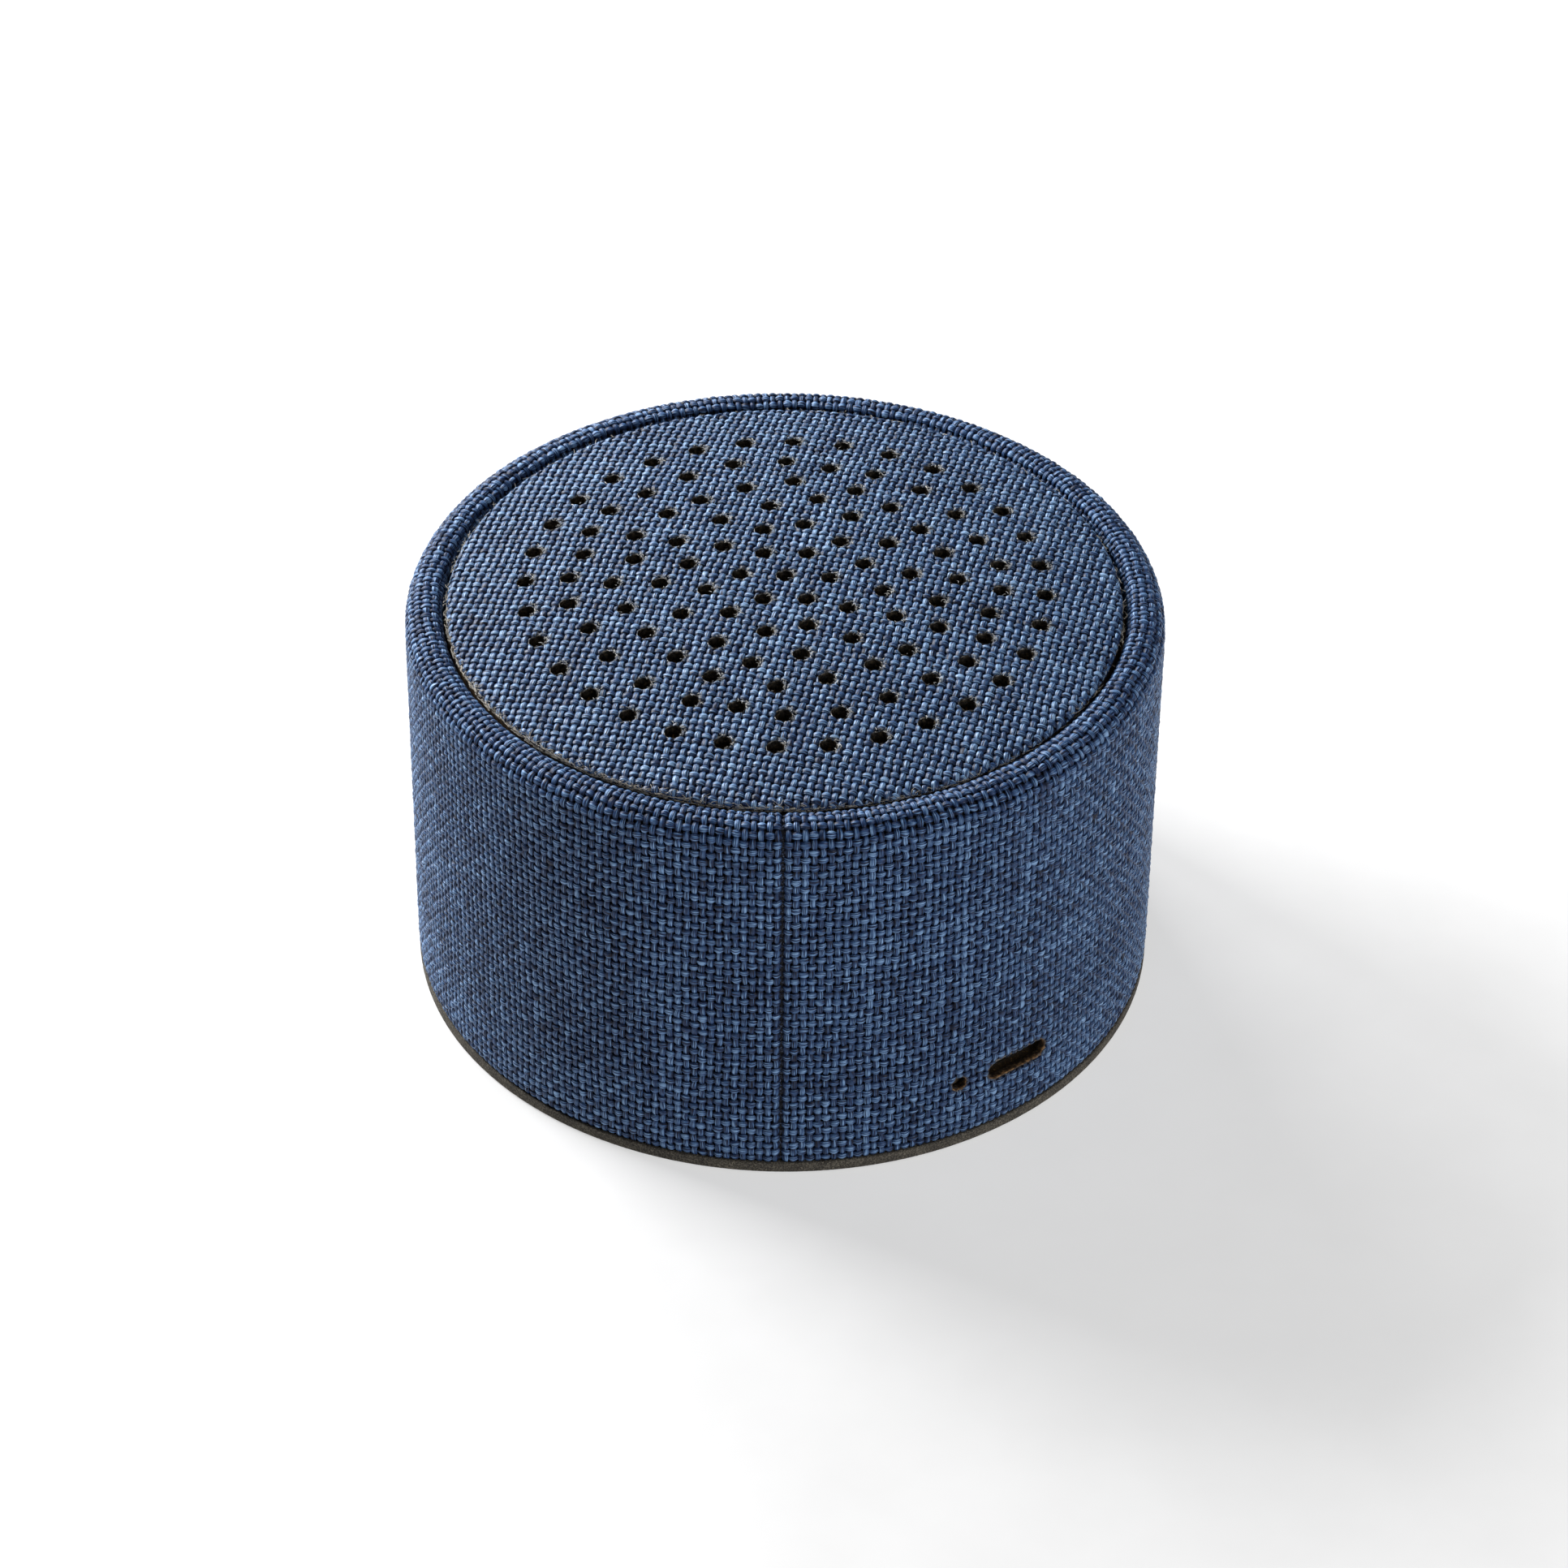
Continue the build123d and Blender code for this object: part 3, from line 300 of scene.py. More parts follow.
def side_place(s, t, h):
    """The point of the side cover s round from the seam, t up its profile and h out from its middle."""
    seam = np.minimum(s, ROUND_LENGTH - s) - SEAM_GAP / 2
    h = h - SEAM_DIP * np.clip((h - BACKING_H) / 0.2, 0, 1) * bell(np.maximum(seam, 0), SEAM_EDGE)
    h = h + SEAM_SWELL * bell(seam - 1.0, 0.6) - HEM_DIP * bell(t, 0.5)
    a = np.clip((t - WALL_LENGTH) / OUTER_ARC, 0, math.pi / 2)
    flat = np.clip(t - WALL_LENGTH - OUTER_LENGTH, 0, FLAT_LENGTH)
    b = np.clip((t - WALL_LENGTH - OUTER_LENGTH - FLAT_LENGTH) / INNER_ARC, 0, math.pi / 2)
    down = np.maximum(t - (PROFILE_LENGTH - GROOVE_LENGTH), 0)
    turn = a + b
    r = R_MID - OUTER_ARC * (1 - np.cos(a)) - flat - INNER_ARC * np.sin(b)
    z = HEM_Z + np.minimum(t, WALL_LENGTH) + OUTER_ARC * np.sin(a) - INNER_ARC * (1 - np.cos(b)) - down
    r = r + h * np.cos(turn)
    z = z + h * np.sin(turn)
    azimuth = s / OUTER_R
    r = r - LID_PRESS * bell(azimuth - LID_PRESS_AZ, 0.5) * np.sin(b)
    return np.stack([r * np.sin(azimuth), -r * np.cos(azimuth), z], axis=-1)


def dome_height(r):
    """The lid's outer face: a shallow dome with a rounded edge."""
    z = LID_TOP - DOME_R + np.sqrt(DOME_R ** 2 - np.square(r))
    rim = np.clip((r - (LID_R - LID_EDGE_ROUND)) / LID_EDGE_ROUND, 0, 1)
    return z - LID_EDGE_ROUND * (1 - np.sqrt(1 - np.square(rim) * 0.96))


def top_place(x, y, h):
    """The point of the lid's cloth over x, y (from the lid's own centre) at height h from its middle."""
    r = np.hypot(x, y)
    return np.stack([x + LID_CENTRE[0], y + LID_CENTRE[1], dome_height(r) - MID_DEPTH + h], axis=-1)


def drift(u, v, seed):
    """A slow, smooth sideways drift of the yarns, in millimetres."""
    phases = np.random.default_rng(seed).uniform(0, TAU, len(DRIFTS))
    return sum(size * np.sin(TAU * (u / a + v / b) + phase) for (size, a, b), phase in zip(DRIFTS, phases))


def family(yarn, count, crossings, pitch, along_pitch, odd, first, last, start, end, seed):
    """The yarns first..last of one direction, each over the crossings start..end, in cloth coordinates.

    Gives each point's place across and along, its height, its tone and the material's coordinates. The tone
    holds random yarn and float tone and also painted shade: darker down the sides and ends of each float,
    lighter on its top.
    """
    rng = np.random.default_rng(seed)
    yarn_width = 1 + 0.05 * rng.standard_normal(count)
    yarn_tone = 0.055 * rng.standard_normal(count)
    slub_phase = rng.uniform(0, TAU, (count, 3))
    float_rise = 0.10 * rng.standard_normal((count, crossings + 1))
    float_shift = 0.030 * rng.standard_normal((count, crossings + 1))
    float_tone = 0.055 * rng.standard_normal((count, crossings + 1))
    i = np.arange(first, last)[:, None, None]
    k = np.arange(start * STEPS, end * STEPS + 1)[None, :, None]
    m = ACROSS[None, None, :]
    step = k / STEPS
    j = np.minimum(np.floor(step).astype(int), crossings)
    c = np.cos(math.pi * (step - 0.5) + math.pi * (i + odd))
    over = np.maximum(c, 0)
    level = np.sign(c) * np.abs(c) ** 0.6
    wide, even, narrow = yarn["wide"]
    share = even + np.sqrt(over) * (wide - even) - np.maximum(-c, 0) * (even - narrow)
    bulge = np.sign(np.cos(m)) * np.abs(np.cos(m)) ** yarn["full"]
    along = step * along_pitch
    slub = np.sin(along / 9.0 + slub_phase[i, 0]) * np.sin(along / 3.7 + slub_phase[i, 1])
    width = share * pitch * yarn_width[i] * (1 + 0.05 * slub)
    rise = yarn["thick"] * (1 + float_rise[i, j] * over) * (1 + 0.04 * slub)
    centre = (i + 0.5) * pitch + float_shift[i, j] * over * pitch
    across = centre + width * np.sin(m) + 0 * k
    height = yarn["crimp"] * level + rise * bulge
    # The last term of the tone is painted shade: the low points of a yarn, where it dips under the yarns it
    # crosses, are darker, and float tops lighter.
    tone = 0.36 + yarn_tone[i] + 0.06 * slub + float_tone[i, j] + 0.5 * (height / 0.3 - 0.6)
    uv = np.stack(np.broadcast_arrays(along, i * 3.7 + (m + 2) / 4 + 0 * k), axis=-1)
    return across, along + 0 * across, height, tone + 0 * across, uv


def yarn_faces(shape):
    """Quads of many yarns at once, from the shape (yarns, steps along, points across)."""
    yarns, steps, points = shape
    faces = grid_faces(steps, points).reshape(1, steps - 1, points - 1, 4)
    return faces + (np.arange(yarns) * steps * points)[:, None, None, None]


def side_cuts():
    """The lamp hole and the charging slot, in the side cover's cloth coordinates."""
    led = np.array([LED_AZ * OUTER_R, LED_Z - HEM_Z])
    port = np.array([PORT_AZ * OUTER_R, PORT_Z - HEM_Z])
    return [
        lambda p: circles_cut(p, [led], LED_HOLE_R),
        lambda p: stadium_cut(p, port, PORT_SLOT),
    ]


def singe(points, cuts, reach):
    """How scorched each point is: 1 at a cut's edge, falling to 0 at the reach."""
    worst = np.zeros(len(points))
    for cut in cuts:
        distance, _ = cut(points)
        worst = np.maximum(worst, np.clip(1 - distance / reach, 0, 1))
    return worst


def weave_side(material_of):
    """The side cover's yarns, in sectors round the body: warps run up and over the rim, wefts run round."""
    warps = int(ROUND_LENGTH / WARP_PITCH)
    wefts = int(round(PROFILE_LENGTH / WEFT_PITCH))
    warp_pitch = (ROUND_LENGTH - SEAM_GAP) / warps
    weft_pitch = PROFILE_LENGTH / wefts
    bounds = [round(warps * q / SECTORS) for q in range(SECTORS + 1)]
    cuts = side_cuts()
    pieces = []
    for q, (low, high) in enumerate(zip(bounds, bounds[1:])):
        for kind in ("warp", "weft"):
            if kind == "warp":
                across, along, height, tone, uv = family(
                    SIDE_WARP, warps, wefts, warp_pitch, weft_pitch, 0, low, high, 0, wefts, WARP_SEED)
                s, t = across + SEAM_GAP / 2, along
                faces = yarn_faces(across.shape)
            else:
                across, along, height, tone, uv = family(
                    SIDE_WEFT, wefts, warps, weft_pitch, warp_pitch, 1,
                    0, wefts, low, min(high + 1, warps), WEFT_SEED)
                s, t = along + SEAM_GAP / 2, across
                faces = yarn_faces(across.shape)
                # A sector's wefts end under a warp, where the next sector's begin.
                row = np.arange(wefts)[:, None]
                step = np.arange(faces.shape[1]) + low * STEPS
                begin = (low + (low + row) % 2) * STEPS + STEPS // 2 if q > 0 else 0
                end = (high + (high + row) % 2) * STEPS + STEPS // 2 if q < SECTORS - 1 else warps * STEPS
                faces = faces[(step >= begin) & (step < end)]
            faces = faces.reshape(-1, 4)
            # The yarns run straight along the seam and the hem.
            calm = smooth_step((np.minimum(s, ROUND_LENGTH - s) - 0.1) / 6) * smooth_step(t / 4 + 0.2)
            s, t = s + drift(s, t, 1) * calm, t + 1.2 * drift(s, t, 2) * calm
            t = np.clip(t, 0, PROFILE_LENGTH)
            points, faces = cut_out(np.stack([s.ravel(), t.ravel()], axis=1), faces, cuts)
            char = singe(points, cuts, SIDE_SINGE)
            h = height.ravel() - SIDE_SINK * char ** 2
            seam = np.minimum(points[:, 0], ROUND_LENGTH - points[:, 0])
            tone = tone.ravel() - SEAM_SHADE * bell(seam, SEAM_EDGE)
            co = side_place(points[:, 0], points[:, 1], h)
            low_s, high_s = low * warp_pitch - 1.5, high * warp_pitch + 2.5
            bake = np.stack([(points[:, 0] - low_s) / (high_s - low_s),
                             0.01 + 0.98 * points[:, 1] / PROFILE_LENGTH], axis=1)
            pieces.append(mesh_piece(
                f"side_{kind}_{q + 1}", co, faces, material_of[kind],
                uvs={"OFBake": bake, "yarn": uv.reshape(-1, 2)},
                attributes={"tone": tone, "char": char}))
    return pieces


def top_cuts():
    """The sound holes, in the lid's cloth coordinates."""
    return [lambda p: circles_cut(p, HOLES, CLOTH_HOLE_R)]


def weave_top(material_of):
    """The lid's yarns, cut to its disc and pierced by the holes."""
    reach = LID_R + 1
    pieces = []
    for kind, odd, pitch, other, turn in (
        ("warp", 0, TOP_PITCH[0], TOP_PITCH[1], TOP_GRAIN + math.pi / 2),
        ("weft", 1, TOP_PITCH[1], TOP_PITCH[0], TOP_GRAIN),
    ):
        count = 2 * int(reach / pitch)
        crossings = 2 * int(reach / other)
        across, along, height, tone, uv = family(
            TOP_YARN, count, crossings, pitch, other, odd, 0, count, 0, crossings, TOP_SEED + odd)
        faces = yarn_faces(across.shape).reshape(-1, 4)
        a = (across - count * pitch / 2).ravel()
        b = (along - crossings * other / 2).ravel()
        a = a if kind == "weft" else -a
        x = b * math.cos(turn) - a * math.sin(turn)
        y = b * math.sin(turn) + a * math.cos(turn)
        x, y = x + drift(x, y, 3), y + drift(y, x, 4)
        points = np.stack([x, y], axis=1)
        r = np.hypot(x, y)
        faces = faces[(r[faces] < LID_R).any(axis=1)]
        out = r > LID_R
        points[out] *= (LID_R / r[out])[:, None]
        cuts = top_cuts()
        points, faces = cut_out(points, faces, cuts)
        char = singe(points, cuts, TOP_SINGE)
        lean = 0.8 * singe(points - SMOKE_SIDE, cuts, 0.50)
        h = height.ravel() - TOP_SINK * char ** 2
        co = top_place(points[:, 0], points[:, 1], h)
        if kind == "warp":
            faces = faces[:, ::-1]
        bake = 0.5 + points / (2.04 * LID_R)
        pieces.append(mesh_piece(
            f"top_{kind}", co, faces, material_of[kind],
            uvs={"OFBake": bake, "yarn": uv.reshape(-1, 2)},
            attributes={"tone": tone.ravel(), "char": np.maximum(0.75 * char, lean)}))
    return pieces


def backing_side(material):
    """The sheet under the yarns: one sheet that meets at the seam, with the two openings cut out. Its dark
    colour is painted shade in the gaps between the yarns and in the seam.
    """
    columns, rows = int(ROUND_LENGTH / 0.55), int(PROFILE_LENGTH / 0.5)
    s, t = np.meshgrid(np.linspace(0.01, ROUND_LENGTH - 0.01, columns),
                       np.linspace(0, PROFILE_LENGTH, rows))
    faces = grid_faces(rows, columns).reshape(-1, 4)[:, ::-1]
    points, faces = cut_out(np.stack([s.ravel(), t.ravel()], axis=1), faces, side_cuts())
    co = side_place(points[:, 0], points[:, 1], BACKING_H)
    bake = np.stack([points[:, 0] / ROUND_LENGTH, points[:, 1] / PROFILE_LENGTH], axis=1) * 0.98 + 0.01
    return mesh_piece("side_cover", co, faces, material, uvs={"OFBake": bake})


def backing_top(material):
    """The sheet under the lid's yarns: one disc, pierced by the holes. Its dark colour is painted shade in
    the gaps between the yarns.
    """
    rings, spokes = 84, 560
    r = np.linspace(0.001, LID_R - 0.04, rings)
    a = np.linspace(0, TAU, spokes + 1)
    r, a = np.meshgrid(r, a, indexing="ij")
    points = np.stack([(r * np.cos(a)).ravel(), (r * np.sin(a)).ravel()], axis=1)
    faces = grid_faces(rings, spokes + 1).reshape(-1, 4)
    points, faces = cut_out(points, faces, top_cuts())
    co = top_place(points[:, 0], points[:, 1], BACKING_H)
    return mesh_piece("top_cover", co, faces, material, uvs={"OFBake": 0.5 + points / (2.04 * LID_R)})


# ---- Cut edges and loose fibres --------------------------
def hole_edges(material):
    """The melted edge that the cutting beam leaves round each hole: an uneven lip with a short wall."""
    spokes = 30
    turn = np.arange(spokes) * TAU / spokes
    co, faces = [], []
    for n, centre in enumerate(HOLES):
        phase = RNG.uniform(0, TAU, 4)
        rough = 0.018 * np.sin(3 * turn + phase[0]) + 0.014 * np.sin(7 * turn + phase[1])
        jag = 0.05 * np.sin(5 * turn + phase[2]) + 0.04 * np.sin(11 * turn + phase[3])
        for offset, h in HOLE_LIP:
            outer = 1 if h > LIP_FACE else 0.3
            radius = CLOTH_HOLE_R + offset + outer * rough
            x = centre[0] + radius * np.cos(turn)
            y = centre[1] + radius * np.sin(turn)
            co.append(top_place(x, y, h + jag * (h > LIP_FACE)))
        faces.append(hoop_faces(len(HOLE_LIP), spokes, n * spokes * len(HOLE_LIP)))
    return mesh_piece("hole_edges", np.concatenate(co), np.concatenate(faces), material)


def opening_edges(material):
    """The melted edges of the charging slot and the lamp hole."""
    co, faces, depth, first = [], [], [], 0
    for azimuth, z, half, radius, spokes in (
        (PORT_AZ, PORT_Z, PORT_SLOT[0] / 2 - PORT_SLOT[1] / 2, PORT_SLOT[1] / 2, 96),
        (LED_AZ, LED_Z, 0, LED_HOLE_R, 40),
    ):
        turn = np.linspace(0, TAU, spokes, endpoint=False)
        shift = np.where(np.cos(turn) >= 0, half, -half)
        phase = RNG.uniform(0, TAU, 3)
        jag = 0.03 * np.sin(9 * turn + phase[0]) + 0.03 * np.sin(17 * turn + phase[1])
        # The third value of each row mixes in the caramel wall; its fall deeper down is painted shade.
        for grow, h, tone in OPENING_LIP:
            ragged = jag * (h > LIP_FACE)
            s = azimuth * OUTER_R + shift + (radius + grow + ragged) * np.cos(turn)
            t = z - HEM_Z + (radius + grow + ragged) * np.sin(turn)
            co.append(side_place(s, t, h + ragged))
            depth.append(np.full(spokes, tone))
        faces.append(hoop_faces(len(OPENING_LIP), spokes, first))
        first += spokes * len(OPENING_LIP)
    return mesh_piece("opening_edges", np.concatenate(co), np.concatenate(faces), material,
                      attributes={"tone": np.concatenate(depth)})


def curl(start, heading, lift, length, points, rng, wander):
    """Curled fibre paths in cloth coordinates, as (x, y, h) for each of many fibres."""
    count = len(start)
    step = (length / (points - 1))[:, None]
    turn = heading[:, None] + np.cumsum(wander * rng.standard_normal((count, points)), axis=1)
    rise = np.cumsum(lift[:, None] * rng.uniform(0.2, 1.0, (count, points)), axis=1)
    fall = np.linspace(0, 1, points)[None, :] ** 2 * lift[:, None] * points * 0.75
    x = start[:, :1] + np.cumsum(step * np.cos(turn), axis=1)
    y = start[:, 1:] + np.cumsum(step * np.sin(turn), axis=1)
    return x, y, rise - fall


def fibres(name, paths, taper, radii, rng, material):
    """One piece of many fibres, each with its own radius and tone; its end is thinner by taper."""
    count, points, _ = paths.shape
    radii = np.linspace(1, taper, points)[None, :] * rng.uniform(*radii, (count, 1))
    co, faces = tubes(paths, radii)
    tone = np.repeat(rng.uniform(0, 1, count), points * TUBE_SIDES)
    return mesh_piece(name, co, faces, material, attributes={"tone": tone})


def hole_fray(material):
    """Short pale fibre ends, fused and curled on the side of each hole where the beam left."""
    rng = np.random.default_rng(71)
    each = 16
    centres = np.repeat(HOLES, each, axis=0)
    side = rng.normal(*FRAY_SIDE, len(centres))
    reach = HOLE_R + rng.uniform(-0.02, 0.36, len(centres))
    start = centres + np.stack([np.cos(side), np.sin(side)], axis=1) * reach[:, None]
    heading = side + rng.normal(0, 1.5, len(centres))
    length = rng.uniform(0.16, 0.52, len(centres))
    lift = rng.uniform(0.01, 0.05, len(centres))
    x, y, h = curl(start, heading, lift, length, 6, rng, 0.55)
    paths = top_place(x, y, h + 0.27 + rng.uniform(-0.06, 0.08, (len(centres), 1)))
    return fibres("hole_fray", paths, 0.5, (0.018, 0.040), rng, material)


def lid_fringe(material):
    """Loose yarn ends along the lid's cut edge, thicker at the front left."""
    rng = np.random.default_rng(72)
    count = 1500
    thick = rng.uniform(0, 1, count) < 0.62
    a = np.where(thick, rng.normal(*FRINGE_SIDE, count), rng.uniform(0, TAU, count))
    start = np.stack([np.cos(a), np.sin(a)], axis=1) * (LID_R - rng.uniform(0.0, 0.12, count))[:, None]
    heading = a + rng.choice([-1, 1], count) * rng.uniform(1.0, 1.8, count)
    length = rng.uniform(0.3, 1.1, count)
    lift = rng.uniform(-0.05, 0.02, count)
    x, y, h = curl(start, heading, lift, length, 6, rng, 0.20)
    z = dome_height(np.minimum(np.hypot(x, y), LID_R - 0.02)) - MID_DEPTH + h
    x, y = x + LID_CENTRE[0], y + LID_CENTRE[1]
    r = np.hypot(x, y)
    limit = np.minimum(r, GROOVE_R - 0.04) / r
    paths = np.stack([x * limit, y * limit, z + rng.uniform(-0.15, 0.42, (count, 1))], axis=-1)
    return fibres("lid_fringe", paths, 0.6, (0.016, 0.036), rng, material)


def seam_fray(material):
    """Cut ends of the wefts that stand in the butt seam, from the foot to the groove."""
    rng = np.random.default_rng(73)
    count = 150
    left = rng.uniform(0, 1, count) < 0.7
    t = rng.uniform(0.2, PROFILE_LENGTH - 0.6, count)
    edge = np.where(left, ROUND_LENGTH - SEAM_GAP / 2 - 0.05, SEAM_GAP / 2 + 0.05)
    heading = np.where(left, 0.0, math.pi) + rng.normal(0, 0.7, count)
    length = rng.uniform(0.12, 0.36, count)
    lift = rng.uniform(-0.02, 0.05, count)
    x, y, h = curl(np.stack([edge, t], axis=1), heading, lift, length, 5, rng, 0.35)
    y = np.clip(y, 0.05, PROFILE_LENGTH)
    depth = rng.uniform(0.05, 0.42, (count, 1))
    paths = side_place(np.minimum(x, ROUND_LENGTH + 0.2), y, h + depth)
    return fibres("seam_fray", paths, 0.6, (0.016, 0.034), rng, material)


# ---- Materials -------------------------------------------
class Shader:
    """A material's node tree, with one line per node."""

    def __init__(self, name):
        self.material = bpy.data.materials.new(name)
        self.material.use_nodes = True
        self.tree = self.material.node_tree
        self.bsdf = self.tree.nodes["Principled BSDF"]

    def node(self, kind, settings=None, **sockets):
        made = self.tree.nodes.new("ShaderNode" + kind)
        for name, value in (settings or {}).items():
            setattr(made, name, value)
        for name, value in sockets.items():
            self.feed(made, name.replace("_", " "), value)
        return made

    def feed(self, node, socket, value):
        target = node.inputs[int(socket)] if socket.isdigit() else node.inputs[socket]
        if isinstance(value, bpy.types.NodeSocket):
            self.tree.links.new(value, target)
        else:
            target.default_value = value

    def set(self, **sockets):
        for name, value in sockets.items():
            self.feed(self.bsdf, name.replace("_", " "), value)

    def math(self, operation, a, b=0.0, clamp=False):
        made = self.node("Math", {"operation": operation, "use_clamp": clamp})
        self.feed(made, "0", a)
        self.feed(made, "1", b)
        return made.outputs[0]

    def sum(self, *terms):
        """The sum of (value, share) terms."""
        parts = [value if share == 1 else self.math("MULTIPLY", value, share) for value, share in terms]
        total = parts[0]
        for part in parts[1:]:
            total = self.math("ADD", total, part)
        return total

    def place(self, scale=(1, 1, 1), uv=None):
        if uv:
            out = self.node("UVMap", {"uv_map": uv}).outputs[0]
        else:
            out = self.node("TexCoord").outputs["Object"]
        return self.node("Mapping", Vector=out, Scale=scale).outputs[0]

    def noise(self, scale, detail=3.0, rough=0.55, at=None):
        """Cloudy noise, over the object's own coordinates unless at says where."""
        where = self.place() if at is None else at
        return self.node("TexNoise", Vector=where, Scale=scale, Detail=detail,
                         Roughness=rough).outputs[0]

    def cells(self, vector, scale):
        return self.node("TexVoronoi", Vector=vector, Scale=scale).outputs[0]

    def ramp(self, factor, *stops):
        """Colours along a factor: stops of (position, sRGB colour in 0..255)."""
        made = self.node("ValToRGB", Fac=factor)
        bar = made.color_ramp.elements
        bar.remove(bar[1])
        bar[0].position, bar[0].color = stops[0][0], rgb(stops[0][1])
        for position, colour in stops[1:]:
            bar.new(position).color = rgb(colour)
        return made.outputs[0]

    def span(self, value, to_low, to_high, low=0.3, high=0.7):
        """The value's range low..high, moved to to_low..to_high."""
        return self.node("MapRange", Value=value, From_Min=low, From_Max=high,
                         To_Min=to_low, To_Max=to_high).outputs[0]

    def mix(self, factor, a, b):
        made = self.node("Mix", {"data_type": "RGBA"})
        self.feed(made, "0", factor)
        self.feed(made, "6", a)
        self.feed(made, "7", b)
        return made.outputs[2]

    def bump(self, height, strength, distance):
        made = self.node("Bump", Strength=strength, Distance=distance, Height=height)
        self.feed(self.bsdf, "Normal", made.outputs[0])

    def attribute(self, name):
        return self.node("Attribute", {"attribute_name": name}).outputs["Fac"]


def rgb(colour):
    """An sRGB colour given in 0..255, as linear numbers with an alpha of 1."""
    return (*((c / 255 / 12.92) if c <= 10 else ((c / 255 + 0.055) / 1.055) ** 2.4 for c in colour), 1.0)


def yarn_material(name, stops, rough, gloss):
    """Dyed yarn: light and dark fibres along it, dust, and soot where it is scorched. Its tone also carries
    painted shade, darker where a yarn dips under another.
    """
    s = Shader(name)
    streak = s.noise(1.0, 0.0, 0.5, s.place((0.5, 11.0, 1.0), uv="yarn"))
    thread = s.noise(1.0, 0.0, 0.5, s.place((1.0, 27.0, 1.0), uv="yarn"))
    both = s.sum((streak, 0.6), (thread, 0.4))
    cloud = s.noise(115.0, 2.0)
    tone = s.math("ADD", s.attribute("tone"), s.math("MULTIPLY", s.math("SUBTRACT", both, 0.5), 2.6))
    tone = s.math("ADD", tone, s.math("MULTIPLY", s.math("SUBTRACT", cloud, 0.5), 0.15), clamp=True)
    dusty = s.span(s.noise(5200.0, 1.0), 0.0, 0.25, 0.72, 0.78)
    colour = s.mix(dusty, s.ramp(tone, *stops), rgb((128, 120, 110)))
    ashes = s.noise(4200.0, 2.0, 0.7)
    ash = s.ramp(ashes, (0.44, (9, 10, 13)), (0.58, (36, 40, 48)), (0.70, (140, 142, 142)))
    burnt = s.math("MULTIPLY", s.attribute("char"), 0.85, clamp=True)
    s.set(Base_Color=s.mix(burnt, colour, ash), Roughness=s.span(both, rough + 0.10, rough - 0.12),
          Specular_IOR_Level=gloss)
    s.bump(both, 0.8, 0.00012)
    return s.material


def backing_material(name):
    """Painted shade for the gaps between the yarns: nearly black, with real pale lint."""
    s = Shader(name)
    dust = s.noise(2600.0, 2.0)
    # The near-black is painted shade between the yarns; the pale lint is real.
    s.set(Base_Color=s.ramp(dust, (0.52, (8, 11, 22)), (0.68, (26, 29, 40)), (0.78, (104, 82, 60))))
    s.set(Roughness=s.span(dust, 0.75, 0.95))
    s.bump(dust, 0.5, 0.00006)
    return s.material


def singed_material(name):
    """Glossy char round the lid's holes."""
    s = Shader(name)
    grain = s.noise(3600.0, 3.0, 0.65)
    s.set(Base_Color=s.ramp(grain, (0.36, (8, 8, 8)), (0.54, (34, 30, 25)), (0.72, (92, 78, 56))))
    s.set(Roughness=s.span(grain, 0.22, 0.46), Specular_IOR_Level=0.6)
    s.bump(grain, 0.6, 0.00006)
    return s.material


def melted_material(name):
    """The cut edge of cloth and board: charred at the face and caramel on the wall; the fall back to char
    deeper down the wall is painted shade.
    """
    s = Shader(name)
    grain = s.noise(3300.0, 3.0, 0.65, s.place((1, 1, 0.5)))
    char = s.ramp(grain, (0.36, (9, 8, 8)), (0.54, (36, 31, 25)), (0.72, (96, 80, 58)))
    wall = s.ramp(grain, (0.34, (34, 24, 15)), (0.50, (92, 66, 40)), (0.70, (176, 134, 86)))
    s.set(Base_Color=s.mix(s.attribute("tone"), char, wall))
    s.set(Roughness=s.span(grain, 0.3, 0.55), Specular_IOR_Level=0.5)
    s.bump(grain, 0.6, 0.00006)
    return s.material


def fibre_material(name, dark, light):
    """Loose fibres, each with its own tone between dark and light."""
    s = Shader(name)
    mottle = s.noise(3000.0, 2.0)
    tone = s.sum((s.attribute("tone"), 0.7), (mottle, 0.4))
    s.set(Base_Color=s.ramp(tone, (0.1, dark), (0.95, light)))
    s.set(Roughness=s.span(mottle, 0.35, 0.6), Specular_IOR_Level=0.5, Sheen_Weight=0.2)
    s.bump(mottle, 0.3, 0.00002)
    return s.material


def grained(name, dark, light, rough, scale, bump=0.25, depth=0.00004, stretch=(1, 1, 1), metallic=0.0,
            coat=0.0, cells=None):
    """A general surface: two-tone grain with its own roughness and relief, stretched for brushed parts."""
    s = Shader(name)
    where = s.place(stretch)
    grain = s.noise(scale, 4.0, 0.6, where)
    cloud = s.noise(scale / 14, 2.0)
    mixed = s.sum((grain, 0.65), (cloud, 0.35))
    s.set(Base_Color=s.ramp(mixed, (0.36, dark), (0.64, light)))
    s.set(Roughness=s.span(mixed, rough[1], rough[0], 0.35, 0.65), Metallic=metallic, Coat_Weight=coat)
    height = grain
    if cells:
        height = s.sum((s.cells(where, cells), 0.8), (grain, 0.4))
    s.bump(height, bump, depth)
    return s.material


def woven(name, dark, light, pitch):
    """A fine cloth: two crossed sets of ribs in plan, for the sealed cloth parts."""
    s = Shader(name)
    parts = s.node("SeparateXYZ", Vector=s.place((TAU / pitch / MM,) * 3))
    height = s.math("MULTIPLY", s.math("SINE", parts.outputs[0]), s.math("SINE", parts.outputs[1]))
    speck = s.noise(2400.0, 2.0)
    tone = s.sum((height, 0.25), (speck, 1))
    s.set(Base_Color=s.ramp(tone, (0.25, dark), (0.75, light)))
    s.set(Roughness=s.span(speck, 0.8, 0.92))
    s.bump(height, 0.5, 0.00005)
    return s.material


